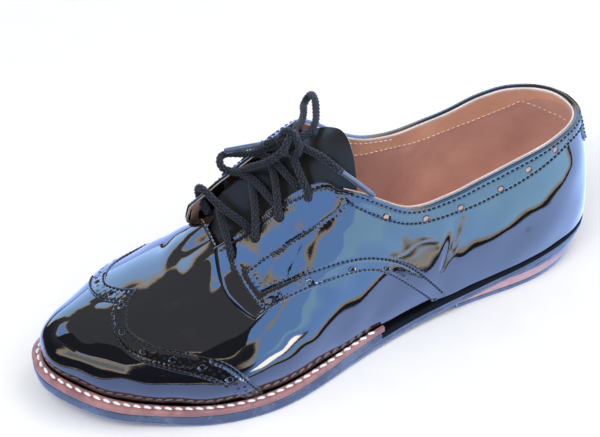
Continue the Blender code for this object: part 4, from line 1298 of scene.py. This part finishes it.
def make_outsole():
    """Rings round the edge from bottom to top, closed by rows across underneath and above."""
    p = np.concatenate([even_stations(-LENGTH + 1e-7, 0, 0.9 * MM),
                        even_stations(0, LENGTH - 1e-7, 0.9 * MM)[1:]])
    s = np.clip(np.abs(p), 0, LENGTH)
    low, high = tread_height(s), LAST["feather"](s)
    ledge = LAST["ledge"](s)
    rings = []
    for share, inside in SOLE_PROFILE:
        plan = sole_edge(p, ledge - inside * MM)
        rings.append(np.concatenate([plan, (low + (high - low) * share)[:, None]], -1))
    middle = np.clip(s, 20 * MM, LENGTH - 22 * MM)
    spine = np.stack([middle, (outline(middle, 1.0) + outline(middle, -1.0)) / 2], -1)
    for share in (0.6, 0.3, 0.0):
        plan = between(spine, rings[0][:, :2], share)
        rings.insert(0, np.concatenate([plan, tread_height(plan[:, 0])[:, None]], -1))
    grid = np.stack(rings, 1)
    obj = make_piece("outsole", grid, grid_faces(*grid.shape[:2]), SOLE_PAINTED_BLUE)
    obj.data.materials.append(SOLE_PAINTED_SHADE)
    rows = len(rings) - 1
    first_shaded = rows - sum(share > SHADED_SHARE for share, _ in SOLE_PROFILE)
    for index, face in enumerate(obj.data.polygons):
        face.material_index = int(index % rows >= first_shaded and s[index // rows] < SHADED_END)
    # The sole's top beside the upper takes the same painted shade.
    top = np.stack([rings[-1], np.concatenate([sole_edge(p, -6 * MM), high[:, None]], -1)], 1)
    return obj, make_piece("outsole_top", top, grid_faces(*top.shape[:2]), SOLE_PAINTED_SHADE)


outsole, outsole_top = make_outsole()


# The tread's ribs: first and last station, pitch, and how far they bow forwards; section of one.
RIB_STATIONS = (128, 214, 4.2)
RIB_BOW = 2.5 * MM
RIB_INSET = 5 * MM
RIB_SECTION = ((-0.7, 0.12), (-0.5, 0.0), (0.5, 0.0), (0.7, 0.12))


def make_tread():
    """Low ribs across the forefoot under the sole."""
    t = np.linspace(0, 1, 25)
    pieces = []
    for s in np.arange(*RIB_STATIONS) * MM:
        low, high = outline(s, -1.0) + RIB_INSET, outline(s, 1.0) - RIB_INSET
        station, offset = s + RIB_BOW * np.sin(t * math.pi), low + (high - low) * t
        grid = np.stack([np.stack([station + a * MM, offset, tread_height(station) + b * MM], -1)
                         for a, b in RIB_SECTION], 1)
        pieces.append((grid.reshape(-1, 3), grid_faces(*grid.shape[:2], flip=True)))
    return joined("tread_ribs", pieces, SOLE_PAINTED_BLUE)


tread = make_tread()
for part in (outsole, outsole_top, tread):
    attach(part, "root")
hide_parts("outsole")

# ---------------------------------------------------------------- heel stack
# Lifts of pinkish leather board glued and trimmed together between a black rubber top piece and a
# rubber wedge under the sole. Fine dark lines show where the lifts meet. Round the back the lifts are
# painted greyer and more violet as shade and reflected light.
HEEL_BREAST = 68.0 * MM
HEEL_HEIGHT = 14.0 * MM
TOP_PIECE = 2.7 * MM
LIFTS_HEIGHT = 4.8 * MM           # the leather lifts; a rubber wedge fills up to the sole behind
HEEL_UNDERCUT = 7.6 * MM
HEEL_TAPER = 0.05
HEEL_SETBACK = 0.8 * MM
BREAST_HOLLOW = 2.0 * MM
HEEL_LEATHER = soft_leather("heel_leather", colour(192, 146, 146), colour(218, 174, 172), 0.5,
                            pore_scale=700.0, stain_scale=90.0, wrinkle=0.8)


def shade_heel_back():
    """Painted shade: round the back the lifts' colour is blended greyer and more violet, standing in for
    shadow and bluish reflected light.
    """
    tree = HEEL_LEATHER.node_tree
    shader = tree.nodes["Principled BSDF"]
    dye = shader.inputs["Base Color"].links[0].from_socket
    place = node(tree, "ShaderNodeSeparateXYZ", {"Vector": object_place(tree)})
    back = carry(tree, place.outputs["X"], 0.065, 0.122, high=0.7, ease="LINEAR")
    feed(tree, shader, {"Base Color": blend(tree, back, dye, colour(146, 140, 164))})


shade_heel_back()
GLUE_DARK = soft_leather("glue_dark", colour(84, 52, 50), colour(120, 78, 72), 0.8)


def heel_ring(z, grow=0.0):
    """Outline of the heel at a height: round the back from breast to breast, then across the breast."""
    s0 = even_stations(-HEEL_BREAST, HEEL_BREAST, 1.2 * MM)
    s = np.abs(s0)
    plan = sole_edge(s0, LAST["ledge"](s) - HEEL_SETBACK + grow)
    top = tread_height(s) - GAP
    z = z(top) if callable(z) else np.full(len(s0), z)
    drop = 1 - z / HEEL_HEIGHT
    share = (HEEL_BREAST - plan[:, 0]) / HEEL_BREAST
    edge = np.stack([plan[:, 0] + HEEL_UNDERCUT * drop * share, plan[:, 1] * (1 - HEEL_TAPER * drop), z], -1)
    t = np.linspace(0, 1, 24)[1:-1, None]
    breast = between(edge[-1], edge[0], t)
    breast[:, 0] -= BREAST_HOLLOW * (1 - (2 * t[:, 0] - 1) ** 2)
    return np.concatenate([edge, breast])


def make_heel(name, heights, grows, material):
    """A layer of the heel: its outlines at some heights, each grown by some millimetres."""
    rings = np.stack([heel_ring(z, g * MM) for z, g in zip(heights, grows)], 1)
    count, rows = rings.shape[:2]
    ends = range(0, count * rows, rows), range(count * rows - 1, 0, -rows)
    obj = make_piece(name, rings, [*grid_faces(count, rows, wrap=True), *ends], material)
    obj.data.set_sharp_from_angle(angle=math.radians(40))
    return obj


def lifts_top(top):
    """Top of the leather lifts, given the top of the heel."""
    return np.minimum(top, TOP_PIECE + GAP + LIFTS_HEIGHT)


def stack_level(share):
    """The height at a share of the way up the lifts."""
    return lambda top: TOP_PIECE + GAP + (lifts_top(top) - TOP_PIECE - GAP) * share


def wedge_level(share):
    """The height at a share of the way up the wedge."""
    return lambda top: lifts_top(top) + np.maximum(top - lifts_top(top), 0.05 * MM) * share


# Each lift bulges a little between the grooves where it meets the next: share of its height, growth.
LIFTS = 3
LIFT_SHAPE = ((0.0, -0.14), (0.06, 0.0), (0.5, 0.03), (0.94, 0.0))
levels = [stack_level((k + t) / LIFTS) for k in range(LIFTS) for t, _ in LIFT_SHAPE] + [stack_level(1.0)]
grows = [grow for _, grow in LIFT_SHAPE * LIFTS + LIFT_SHAPE[:1]]
heel_stack = make_heel("heel_stack", levels, grows, HEEL_LEATHER)
heel_lines = make_heel("heel_glue_lines", [stack_level(t) for t in (0.0, 0.02, 0.98, 1.0)], (-0.1,) * 4,
                       GLUE_DARK)
heel_wedge = make_heel("heel_wedge", [wedge_level(t) for t in (0.0, 0.1, 0.5, 0.9, 1.0)],
                       (-0.1, 0.1, 0.15, 0.1, -0.1), SOLE_PAINTED_BLUE)
top_piece = make_heel("top_piece", (0.0, 0.05 * MM, 0.4 * MM, 1.2 * MM, TOP_PIECE - 0.1 * MM, TOP_PIECE),
                      (-0.6, -0.35, -0.1, 0.0, 0.0, -0.15), SOLE_PAINTED_BLUE)
for part, finish, name in ((heel_stack, "leather_tan", "heel_stack"), (heel_lines, "leather_tan", None),
                           (heel_wedge, "sole_black", None), (top_piece, "sole_black", "top_piece")):
    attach(part, "root")
    if name:
        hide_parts(name)

# ---------------------------------------------------------------- welt
# A strip of pink-brown leather round the forefoot, sewn to the sole with thick white thread in a
# cut groove; a dark gap is left against the upper.
WELT_THICKNESS = 2.8 * MM
WELT_END = 105.0 * MM
WELT_INSET = 0.2 * MM
WELT_CLEARANCE = 0.45 * MM
WELT_LEATHER = soft_leather("welt_leather", colour(132, 92, 94), colour(166, 120, 118), 0.4, pore_scale=800.0,
                            stain_scale=110.0, wrinkle=0.7)
WHITE_THREAD = thread_material("white_thread", colour(206, 208, 214), colour(250, 250, 252), 0.5)
# The section from the inside over the top: share of the width, height over the sole.
WELT_PROFILE = ((0.0, 0.3), (0.0, 2.45), (0.05, 2.75), (0.18, 2.8), (0.26, 2.76), (0.31, 2.45), (0.4, 2.35),
                (0.49, 2.45), (0.54, 2.74), (0.75, 2.76), (0.94, 2.62), (0.99, 2.35), (1.0, 1.9), (1.0, 0.3))
WELT_SEAM = (0.4, 2.5)


def welt_edges(p):
    """Inner and outer edges of the welt in plan, and the sole's top."""
    s, side, _ = unfold(p, 0.0)
    high = LAST["feather"](s) + GAP + WELT_THICKNESS
    sec = half_section(s, side)
    a = np.arcsin((high - sec["widest"]) / sec["rise"])
    inner = last_point(p, a)[:, :2]
    out = unit(sole_edge(p, MM) - sole_edge(p, 0.0))
    return inner + out * WELT_CLEARANCE, sole_edge(p, LAST["ledge"](s) - WELT_INSET), LAST["feather"](s)


def make_welt():
    """The welt with closed ends, and the line of its seam."""
    p = round_toe(WELT_END, 0.8 * MM)
    inner, outer, level = welt_edges(p)
    *rings, seam = [np.concatenate([between(inner, outer, share), (level + high * MM)[:, None]], -1)
                    for share, high in (*WELT_PROFILE, WELT_SEAM)]
    grid = np.stack(rings, 1)
    count, rows = grid.shape[:2]
    ends = range(rows), range(count * rows - 1, (count - 1) * rows - 1, -1)
    return make_piece("welt", grid, [*grid_faces(count, rows, flip=True), *ends], WELT_LEATHER), seam


welt, welt_seam = make_welt()
welt_thread = thread("welt_thread", ground(welt), welt_seam, WHITE_THREAD, pitch=4.3 * MM, length=3.7 * MM,
                     width=1.45 * MM, sink=0.0, slant=17.0, ends=(4 * MM, 4 * MM))
for part, finish in ((welt, "leather_tan"), (welt_thread, "leather_tan")):
    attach(part, "root")
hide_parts("welt")

# ---------------------------------------------------------------- laces
# One black braided lace, 3 mm, through four pairs of plain punched eyelets, from above into each,
# and tied in a bow that lies over the throat. Its ends have clear tips.
LACE = 3.0 * MM
LACE_SIDES = 24
LACE_RING = 0.42 * MM
BRAID_PITCH = 2.3 * MM
BRAID_HOLLOW, BRAID_RELIEF = 0.26 * MM, 0.5 * MM
BRAID_UNEVEN = (0.03, 0.02)       # shares of its size by which it swells and lies flat


def lace_material():
    """Braided cord: charcoal yarns, paler in flecks where the braid's yarns stand highest."""
    material, tree, shader = new_material("lace_black")
    braid = node(tree, "ShaderNodeAttribute", attribute_name="braid").outputs["Fac"]
    fuzz = noise(tree, object_place(tree), 1300.0, 4.0, 0.7)
    flecks = carry(tree, sums(tree, "MULTIPLY", braid, fuzz), 0.1, 0.62)
    feed(tree, shader, {"Base Color": blend(tree, flecks, colour(4, 4, 6), colour(62, 66, 78)),
                        "Roughness": 0.75, "Sheen Weight": 0.12, "Normal": bump(tree, fuzz, 0.6, 0.15 * MM)})
    return material


LACE_BLACK = lace_material()


def lace_path(points):
    """Ring centres along a smooth route through points in the shoe's measures, millimetres."""
    return smooth_path(points, LACE_RING)


def braid(path, width=LACE, taper=(0.0, 0.0)):
    """Points and faces of a braided tube along a path, and the braid's height at each point."""
    way = travel(path)
    ahead = unit(np.gradient(path, axis=0))
    across = np.empty_like(path)
    across[0] = unit(np.cross(ahead[0], [0.31, 0.2, 0.93]))
    for i in range(1, len(path)):
        across[i] = unit(across[i - 1] - ahead[i] * (across[i - 1] @ ahead[i]))
    third = np.cross(ahead, across)
    turn = np.arange(LACE_SIDES) * 2 * math.pi / LACE_SIDES
    phase = 2 * math.pi * way[:, None] / BRAID_PITCH
    relief = np.abs(np.cos(3 * turn[None, :] + phase / 2) * np.cos(3 * turn[None, :] - phase / 2))
    size = width / 2 - BRAID_HOLLOW + BRAID_RELIEF * relief
    swell, flatten = BRAID_UNEVEN
    size = size * (1 + swell * np.sin(way[:, None] / (3.1 * MM))
                   + flatten * np.sin(2 * turn[None, :] + way[:, None] / (5 * MM)))
    for end, length in zip((way, way[-1] - way), taper):
        if length:
            size = size * np.sqrt(np.clip(end / length, 0.02, 1))[:, None]
    ring = (path[:, None] + size[..., None] * (np.cos(turn)[None, :, None] * across[:, None]
                                               + np.sin(turn)[None, :, None] * third[:, None]))
    rows = len(path)
    index = np.arange(rows * LACE_SIDES).reshape(rows, LACE_SIDES)
    after = np.roll(index, -1, 1)
    quads = np.stack([index[:-1], after[:-1], after[1:], index[1:]], -1).reshape(-1, 4)
    return ring.reshape(-1, 3), [*quads, index[0, ::-1], index[-1]], relief.reshape(-1)


def lace_piece(name, strands):
    """One mesh of braided strands, with the braid kept as an attribute."""
    obj = joined(name, [strand[:2] for strand in strands], LACE_BLACK)
    attribute = obj.data.attributes.new("braid", "FLOAT", "POINT")
    attribute.data.foreach_set("value", np.concatenate([strand[2] for strand in strands]))
    return obj


# Crossings: each comes from under one facing and goes down into an eyelet of the other.
CROSSINGS = (
    ((161.5, -17.5, 58.0), (164.0, -20.5, 68.5), (163.6, -17.5, 73.2), (159.0, -7, 70.0), (153.0, 1, 65.6),
     (149.5, 7.5, 62.6), (148.0, 12, 60.0)),
    ((157.5, -14, 61.0), (158.9, -8.5, 64.5), (159.6, -2, 62.8), (160.3, 4, 61.0), (161.0, 9.4, 59.3),
     (161.2, 11.7, 56.6), (160.6, 11.6, 53.0)),
    ((150.0, -20.5, 64.0), (151.0, -21.5, 72.0), (148.5, -17.5, 76.0), (142.5, -8, 76.3), (140.3, 2, 75.6),
     (138.0, 9.5, 73.4), (136.5, 14, 69.0)),
    ((143.0, -14, 70.0), (143.2, -9.5, 73.2), (145.0, -2, 72.6), (147.0, 5, 71.2), (149.0, 10.4, 67.7),
     (149.9, 12.6, 64.3), (149.2, 12.4, 60.6)),
    ((139.0, -21, 70.0), (139.5, -22, 77.5), (137.5, -18, 81.5), (133.0, -8, 83.5), (130.2, 5, 82.6),
     (127.5, 12, 79.5), (126.5, 16, 76.0)),
    ((133.0, -13, 77.5), (134.0, -8, 80.6), (135.6, 0, 80.6), (137.6, 7.5, 78.6), (138.7, 11.8, 75.6),
     (139.0, 13.9, 72.6), (138.4, 13.6, 68.8)),
    ((127.0, -6, 92.5), (126.9, -1, 91.0), (127.1, 6, 88.6), (127.0, 12, 85.6), (126.5, 15.8, 82.0),
     (126.3, 16.8, 79.0), (125.6, 16.0, 75.5)),
    ((126.0, -5, 93.0), (125.6, -10, 91.5), (125.4, -15.5, 89.3), (125.6, -19.5, 86.5), (126.3, -21.6, 82.6),
     (125.6, -21.0, 78.0)),
)
on_tongue = ground(tongue_face)
LEAST_CLEAR = 0.2 * MM


def above_tongue(path):
    """The part of a crossing that isn't pressed into the tongue."""
    places, normals = on_tongue(path)
    clear = np.nonzero(((path - places) * normals).sum(1) > LEAST_CLEAR)[0]
    return path[clear[0]:clear[-1] + 1]


lace_crossings = lace_piece("lace_crossings", [braid(above_tongue(lace_path(line))) for line in CROSSINGS])
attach(lace_crossings, "root")
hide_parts("lace_bars")

KNOT = np.array((126.3, -2.5, 96.1))
TIP_LAP = 1.5                     # the cord goes this far into its tip, millimetres


def at_knot(way, far):
    """A point some millimetres from the knot's middle."""
    return tuple(KNOT + np.array(way) / np.linalg.norm(way) * far)


# The bow: each side goes round its loop, back through the knot and out as an end.
BOW = dict(
    a=dict(leaves=(-0.93, -0.28, -0.26),
           loop=((114, -8, 96), (110.5, -15, 96), (108, -23, 96), (107.3, -29, 94.4), (108.2, -32.5, 90.8),
                 (110.6, -30.5, 89.8), (112.8, -25, 91.4), (118, -14, 94)),
           returns=(-0.62, -0.76, 0.20), end=(0.70, -0.71, -0.05), way=(),
           tip=(135.1, -10.3, 92.0), aim=(0.82, -0.49, -0.28)),
    b=dict(leaves=(0.75, 0.15, -0.64),
           loop=((136.7, -4, 87.7), (142.8, -11, 81.5), (147.5, -17.5, 76.2), (151.5, -20.5, 76.6),
                 (152, -24, 77.5), (149.6, -27.6, 77.8), (144.6, -25, 78.8), (140, -19.5, 81.4),
                 (134.8, -12.2, 87.8), (131.4, -9.2, 90)),
           returns=(0.30, -0.62, -0.72), end=(-0.71, 0.58, -0.40), way=((119.9, 4, 93.2), (116.9, 10, 93.1)),
           tip=(112.7, 16.5, 90.1), aim=(-0.61, 0.50, -0.62)),
)


def bow_route(side):
    """Points of one side of the bow, from the knot round the loop and through the knot to the tip."""
    aim = np.array(side["aim"]) / np.linalg.norm(side["aim"])
    tip = np.array(side["tip"])
    return (at_knot(side["leaves"], 1.5), at_knot(side["leaves"], 4.5), *side["loop"],
            at_knot(side["returns"], 4.5), at_knot(side["returns"], 1.6),
            at_knot(side["end"], 1.8), at_knot(side["end"], 4.6), *side["way"],
            tip - aim * TIP_LAP, tip + aim * TIP_LAP)


def clear_tip():
    """Shrunk clear plastic over dark cord, greyish, with a crimped, scratched surface."""
    material, tree, shader = new_material("clear_tip")
    haze = noise(tree, object_place(tree), 320.0, 4.0)
    feed(tree, shader, {"Base Color": blend(tree, haze, colour(34, 38, 46), colour(98, 106, 122)),
                        "Roughness": 0.12, "Metallic": 0.25, "Coat Weight": 1.0,
                        "Normal": bump(tree, haze, 0.4, 0.2 * MM)})
    return material


TIP_MATERIAL = clear_tip()
# A lace tip, 18.5 mm long, cut square: distance along it, radius.
AGLET_PROFILE = ((0.0, 1.3), (0.15, 1.42), (0.6, 1.38), (1.0, 1.28), (5.0, 1.24), (9.0, 1.27), (13.0, 1.22),
                 (16.8, 1.22), (17.9, 1.2), (18.3, 1.1), (18.45, 0.85), (18.5, 0.1))


def make_aglet(name, tip, aim):
    """A slim sleeve, pressed a little flat."""
    aim = np.array(aim) / np.linalg.norm(aim)
    start = np.array(tip) * MM
    side = unit(np.cross(aim, [0.1, 0.2, 0.97]))
    other = np.cross(aim, side)
    turn = np.arange(21) * math.pi / 10
    grid = np.array([[start + aim * far * MM + size * MM * ((1 + 0.05 * math.cos(2 * t)) * math.cos(t) * side
                                                            + math.sin(t) * other) for t in turn]
                     for far, size in AGLET_PROFILE])
    return make_piece(name, grid, [*grid_faces(*grid.shape[:2]), range(20, -1, -1)], TIP_MATERIAL)


# The bow's strands meet in a knot: the tightened wrap round the loops' crossing.
KNOT_STRANDS = (
    ((128.5, -7.5, 93.0), (127.6, -6.6, 98.2), (126.2, -3.4, 100.6), (124.6, 0.4, 99.0), (124.4, 2.4, 95.2),
     (125.6, 1.4, 91.6), (127.4, -2.2, 90.2), (128.8, -6.0, 91.4)),
    ((123.0, -6.0, 94.0), (123.4, -4.6, 97.6), (126.4, -1.6, 98.8), (129.4, 0.4, 96.8), (130.2, 0.2, 93.4),
     (128.4, -1.6, 91.6), (125.0, -4.6, 91.4)),
    ((122.4, -2.6, 94.6), (124.0, -1.0, 92.4), (127.6, -3.6, 92.6), (130.2, -5.6, 95.4), (128.6, -5.4, 97.6)),
)
lace_knot = lace_piece("lace_knot", [braid(lace_path(points), taper=(1.5 * MM, 1.5 * MM))
                                     for points in KNOT_STRANDS])
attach(lace_knot, "root")
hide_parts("lace_knot")
for letter, side in BOW.items():
    route = lace_path(bow_route(side))
    strand = lace_piece("lace_" + letter, [braid(route)])
    aglet = make_aglet("aglet_tip_" + letter, side["tip"], side["aim"])
    for part, finish in ((strand, "lace_black"), (aglet, "aglet_clear")):
        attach(part, "root")
    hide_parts("lace_loop_" + letter, "lace_end_" + letter)
    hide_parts("aglet_" + letter)
    length = float(travel(route)[-1])
    to_world(route)[0]
    to_world(route)

# ---------------------------------------------------------------- eyelets
# Plain punched eyelets without rings, drawn as cups with a raised rim set on the quarters; their dark colour
# is painted shade for the hole.
OUTER_EYELETS = np.array(((161.1, 11.3, 56.1), (149.8, 12.5, 64.0), (138.9, 13.8, 72.4),
                          (126.3, 16.5, 80.2))) * MM
EYELET = 1.75 * MM                # radius
INNER_EYELETS = OUTER_EYELETS.copy()
INNER_EYELETS[:, 1] = 2 * LAST["ridge"](OUTER_EYELETS[:, 0]) - OUTER_EYELETS[:, 1]
eyelet_spots = np.concatenate([OUTER_EYELETS, INNER_EYELETS])
eyelets = patches("eyelets", ground(quarters), eyelet_spots, EYELET, CUP, 12, HOLE_PAINTED_SHADE)
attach(eyelets, "root")

# ---------------------------------------------------------------- stage
FOCAL = 127.0
CAMERA_PLACE = (-0.18124, -0.63592, 0.64977)
CAMERA_TURN = (15.628, 41.871, -6.649)    # azimuth, elevation, roll, degrees


def aim_camera():
    """The view: a long lens from above, before the outer side."""
    turn, lift, roll = (math.radians(value) for value in CAMERA_TURN)
    forward = Vector((math.sin(turn) * math.cos(lift), math.cos(turn) * math.cos(lift), -math.sin(lift)))
    right = Vector((math.cos(turn), -math.sin(turn), 0.0))
    up = right.cross(forward)
    right, up = (math.cos(roll) * right + math.sin(roll) * up, -math.sin(roll) * right + math.cos(roll) * up)
    camera = bpy.data.objects.new("camera", bpy.data.cameras.new("camera"))
    bpy.context.scene.collection.objects.link(camera)
    camera.data.sensor_width = 36.0
    camera.data.lens = FOCAL
    camera.data.clip_start, camera.data.clip_end = 0.01, 20.0
    camera.rotation_mode = "QUATERNION"
    camera.rotation_quaternion = Matrix((right, up, -forward)).transposed().to_quaternion()
    camera.location = CAMERA_PLACE
    bpy.context.scene.camera = camera


aim_camera()
bpy.context.scene.view_settings.view_transform = "Standard"


# Soft panels that only polished surfaces see, each with a warm rim. Azimuth and its half width,
# elevation and its half height, softness, all in degrees; colour and strength.
PANELS = (
    (184, 27, 20, 22, 6, (150, 186, 234), 4.0),
    (-97, 38, 40, 7, 4, (110, 152, 216), 5.0),
    (-32, 38, 33, 10, 6, (110, 152, 216), 5.0),
    (18, 23, 10, 36, 9, (112, 154, 214), 5.0),
    (92, 50, 12, 34, 34, (140, 172, 226), 4.4),
    (-64, 20, 12, 8, 8, (176, 184, 194), 2.0),
)
# Lamps: name, place, size, power.
LIGHTS = (("key", (-0.5, -0.5, 1.1), 0.7, 8.0), ("fill", (0.5, -0.3, 0.9), 0.8, 5.0))
WAVER = 5.0                       # degrees by which the panels' edges wander
OVERHEAD = (0.27, 0.275, 0.3)
HORIZON = (0.05, 0.055, 0.08)
RIM = (1.9, 1.6, 1.15)
RIM_WIDTH = 0.45                  # this and the next in shares of a panel's softness
PANEL_EDGE = (0.05, -0.6)


def light_studio():
    """An even pale surround; polished surfaces see a dark room with soft panels instead."""
    world = bpy.data.worlds.new("studio")
    bpy.context.scene.world = world
    world.use_nodes = True
    tree = world.node_tree
    tree.nodes.clear()
    look = node(tree, "ShaderNodeTexCoord").outputs["Generated"]
    parts = node(tree, "ShaderNodeSeparateXYZ", {"Vector": look}).outputs
    tone = blend(tree, carry(tree, parts["Z"], 0.15, 0.8), (*HORIZON, 1), (*OVERHEAD, 1))
    waver = sums(tree, "MULTIPLY_ADD", noise(tree, look, 3.5), 2 * WAVER, -WAVER)
    turned = sums(tree, "ARCTAN2", parts["X"], sums(tree, "MULTIPLY", parts["Y"], -1.0))
    turned = sums(tree, "MULTIPLY_ADD", turned, 180 / math.pi, waver)
    raised = sums(tree, "MULTIPLY_ADD", sums(tree, "ARCSINE", parts["Z"]), 180 / math.pi, waver)
    pasts = []
    for azimuth, wide, elevation, high, *_ in PANELS:
        away = sums(tree, "WRAP", sums(tree, "SUBTRACT", turned, azimuth), 180.0, -180.0)
        above = sums(tree, "SUBTRACT", raised, elevation)
        pasts.append(sums(tree, "MAXIMUM", *(sums(tree, "SUBTRACT", sums(tree, "ABSOLUTE", far), half)
                                             for far, half in ((away, wide), (above, high)))))
    for past, (*_, softness, tint, strength) in zip(pasts, PANELS):
        tone = blend(tree, carry(tree, past, softness * RIM_WIDTH, 0.0, ease="SMOOTHERSTEP"), tone, (*RIM, 1))
    for past, (*_, softness, tint, strength) in zip(pasts, PANELS):
        mask = carry(tree, past, *(softness * share for share in PANEL_EDGE), ease="SMOOTHERSTEP")
        tone = blend(tree, mask, tone, (*(c * strength for c in colour(*tint)[:3]), 1))
    polished = node(tree, "ShaderNodeBackground", {"Color": tone, "Strength": 1.0}).outputs[0]
    plain = node(tree, "ShaderNodeBackground", {"Color": (0.93, 0.95, 1.0, 1), "Strength": 0.85}).outputs[0]
    glossy = node(tree, "ShaderNodeLightPath").outputs["Is Glossy Ray"]
    mixed = node(tree, "ShaderNodeMixShader", {0: glossy, 1: plain, 2: polished}).outputs[0]
    node(tree, "ShaderNodeOutputWorld", {"Surface": mixed})
    for name, place, size, power in LIGHTS:
        light = bpy.data.objects.new(name, bpy.data.lights.new(name, "AREA"))
        light.data.size = size
        light.data.energy = power
        light.location = place
        light.rotation_euler = (-Vector(place)).to_track_quat("-Z", "Y").to_euler()
        light.visible_glossy = False
        bpy.context.scene.collection.objects.link(light)


light_studio()


# Black cards hang round the toe and beside the ball: only the lacquer there sees them, in place of
# the blue panels. Plan of each card, heights of its lower and upper edge.
CARDS = ((((-0.205, 0.02), (-0.205, -0.05), (-0.18, -0.11), (-0.13, -0.15)), (0.086, 0.16)),
         (((-0.13, -0.105), (-0.062, -0.112)), (0.066, 0.124)))


def hang_cards():
    """Thin cards that only reflections show."""
    material, tree, shader = new_material("card_black")
    feed(tree, shader, {"Base Color": colour(6, 6, 8), "Roughness": 1.0, "Specular IOR Level": 0.0,
                        "Emission Color": (0.06, 0.065, 0.08, 1), "Emission Strength": 1.0})
    for path, heights in CARDS:
        mesh = bpy.data.meshes.new("card")
        mesh.from_pydata([(x, y, z) for x, y in path for z in heights], [],
                         [(2 * k, 2 * k + 1, 2 * k + 3, 2 * k + 2) for k in range(len(path) - 1)])
        mesh.materials.append(material)
        card = bpy.data.objects.new("card", mesh)
        bpy.context.scene.collection.objects.link(card)
        card.visible_camera = card.visible_diffuse = card.visible_shadow = card.visible_transmission = False


hang_cards()


# Painted reflections of things past the table: glowing patches in the floor that only polished surfaces see.
# Place, radius, tone.
PATCHES = ((0.010, -0.118, 0.020, (0.5, 0.34, 0.32)), (-0.006, -0.140, 0.030, (8.5, 8.2, 7.4)),
           (0.0705, -0.068, 0.0045, (2.6, 2.5, 2.2)), (0.074, -0.080, 0.0075, (2.6, 2.5, 2.2)),
           (0.077, -0.093, 0.0095, (2.6, 2.5, 2.2)), (0.0705, -0.069, 0.003, (0.22, 0.16, 0.15)),
           (0.074, -0.080, 0.0058, (0.22, 0.16, 0.15)), (0.077, -0.093, 0.0078, (0.22, 0.16, 0.15)))


def make_floor():
    """A plain pale floor; polished surfaces see a glow in it instead, a painted reflection of a blue-grey
    table which ends a hand's breadth past the toe and the outer side."""
    material, tree, shader = new_material("floor_pale")
    paper = noise(tree, object_place(tree), 60.0, 3.0)
    feed(tree, shader, {"Base Color": blend(tree, paper, colour(222, 222, 223), colour(230, 230, 231)),
                        "Roughness": 0.9})
    place = object_place(tree)
    waver = noise(tree, place, 14.0, 4.0)
    spot = node(tree, "ShaderNodeSeparateXYZ", {"Vector": place}).outputs
    sideways = carry(tree, spot["X"], -0.06, 0.015, -0.092, -0.063)
    past = [sums(tree, "MULTIPLY_ADD", spot[axis], -1.0, reach)
            for axis, reach in (("X", -0.170), ("Y", sideways))]
    edge = sums(tree, "MULTIPLY_ADD", waver, 0.020, sums(tree, "MAXIMUM", *past))
    beyond = blend(tree, carry(tree, spot["X"], -0.075, -0.03), (0.04, 0.045, 0.07, 1), (0.81, 1.62, 3.36, 1))
    beyond = blend(tree, carry(tree, spot["X"], 0.05, 0.11, ease="LINEAR"), beyond, (1.25, 2.3, 3.5, 1))
    heelward = carry(tree, spot["X"], -0.05, 0.2, ease="LINEAR")
    tone = blend(tree, heelward, (0.72, 0.98, 1.9, 1), (1.1, 1.6, 2.9, 1))
    # Painted reflection of the table's edge: a dark line, a light line, then what lies beyond.
    for start, end, next_tone in ((0.0045, 0.0065, (0.04, 0.04, 0.06, 1)), (0.011, 0.013, (1.5, 1.3, 1.0, 1)),
                                  (0.0145, 0.021, beyond)):
        tone = blend(tree, carry(tree, edge, start, end), tone, next_tone)
    for x, y, size, patch in PATCHES:
        away = node(tree, "ShaderNodeVectorMath", {0: place, 1: (x, y, 0.0)}, operation="DISTANCE")
        ragged = sums(tree, "MULTIPLY_ADD", waver, 0.06, away.outputs["Value"])
        tone = blend(tree, carry(tree, ragged, size + 0.034, size + 0.026), tone, (*patch, 1))
    glow = node(tree, "ShaderNodeEmission", {"Color": tone, "Strength": 1.0}).outputs[0]
    glossy = node(tree, "ShaderNodeLightPath").outputs["Is Glossy Ray"]
    mixed = node(tree, "ShaderNodeMixShader", {0: glossy, 1: shader.outputs[0], 2: glow}).outputs[0]
    feed(tree, tree.nodes["Material Output"], {"Surface": mixed})
    bpy.ops.mesh.primitive_plane_add(size=6.0, location=(0, 0, 0))
    floor = bpy.context.object
    floor.name = "floor"
    floor.data.materials.append(material)
    return floor


make_floor()
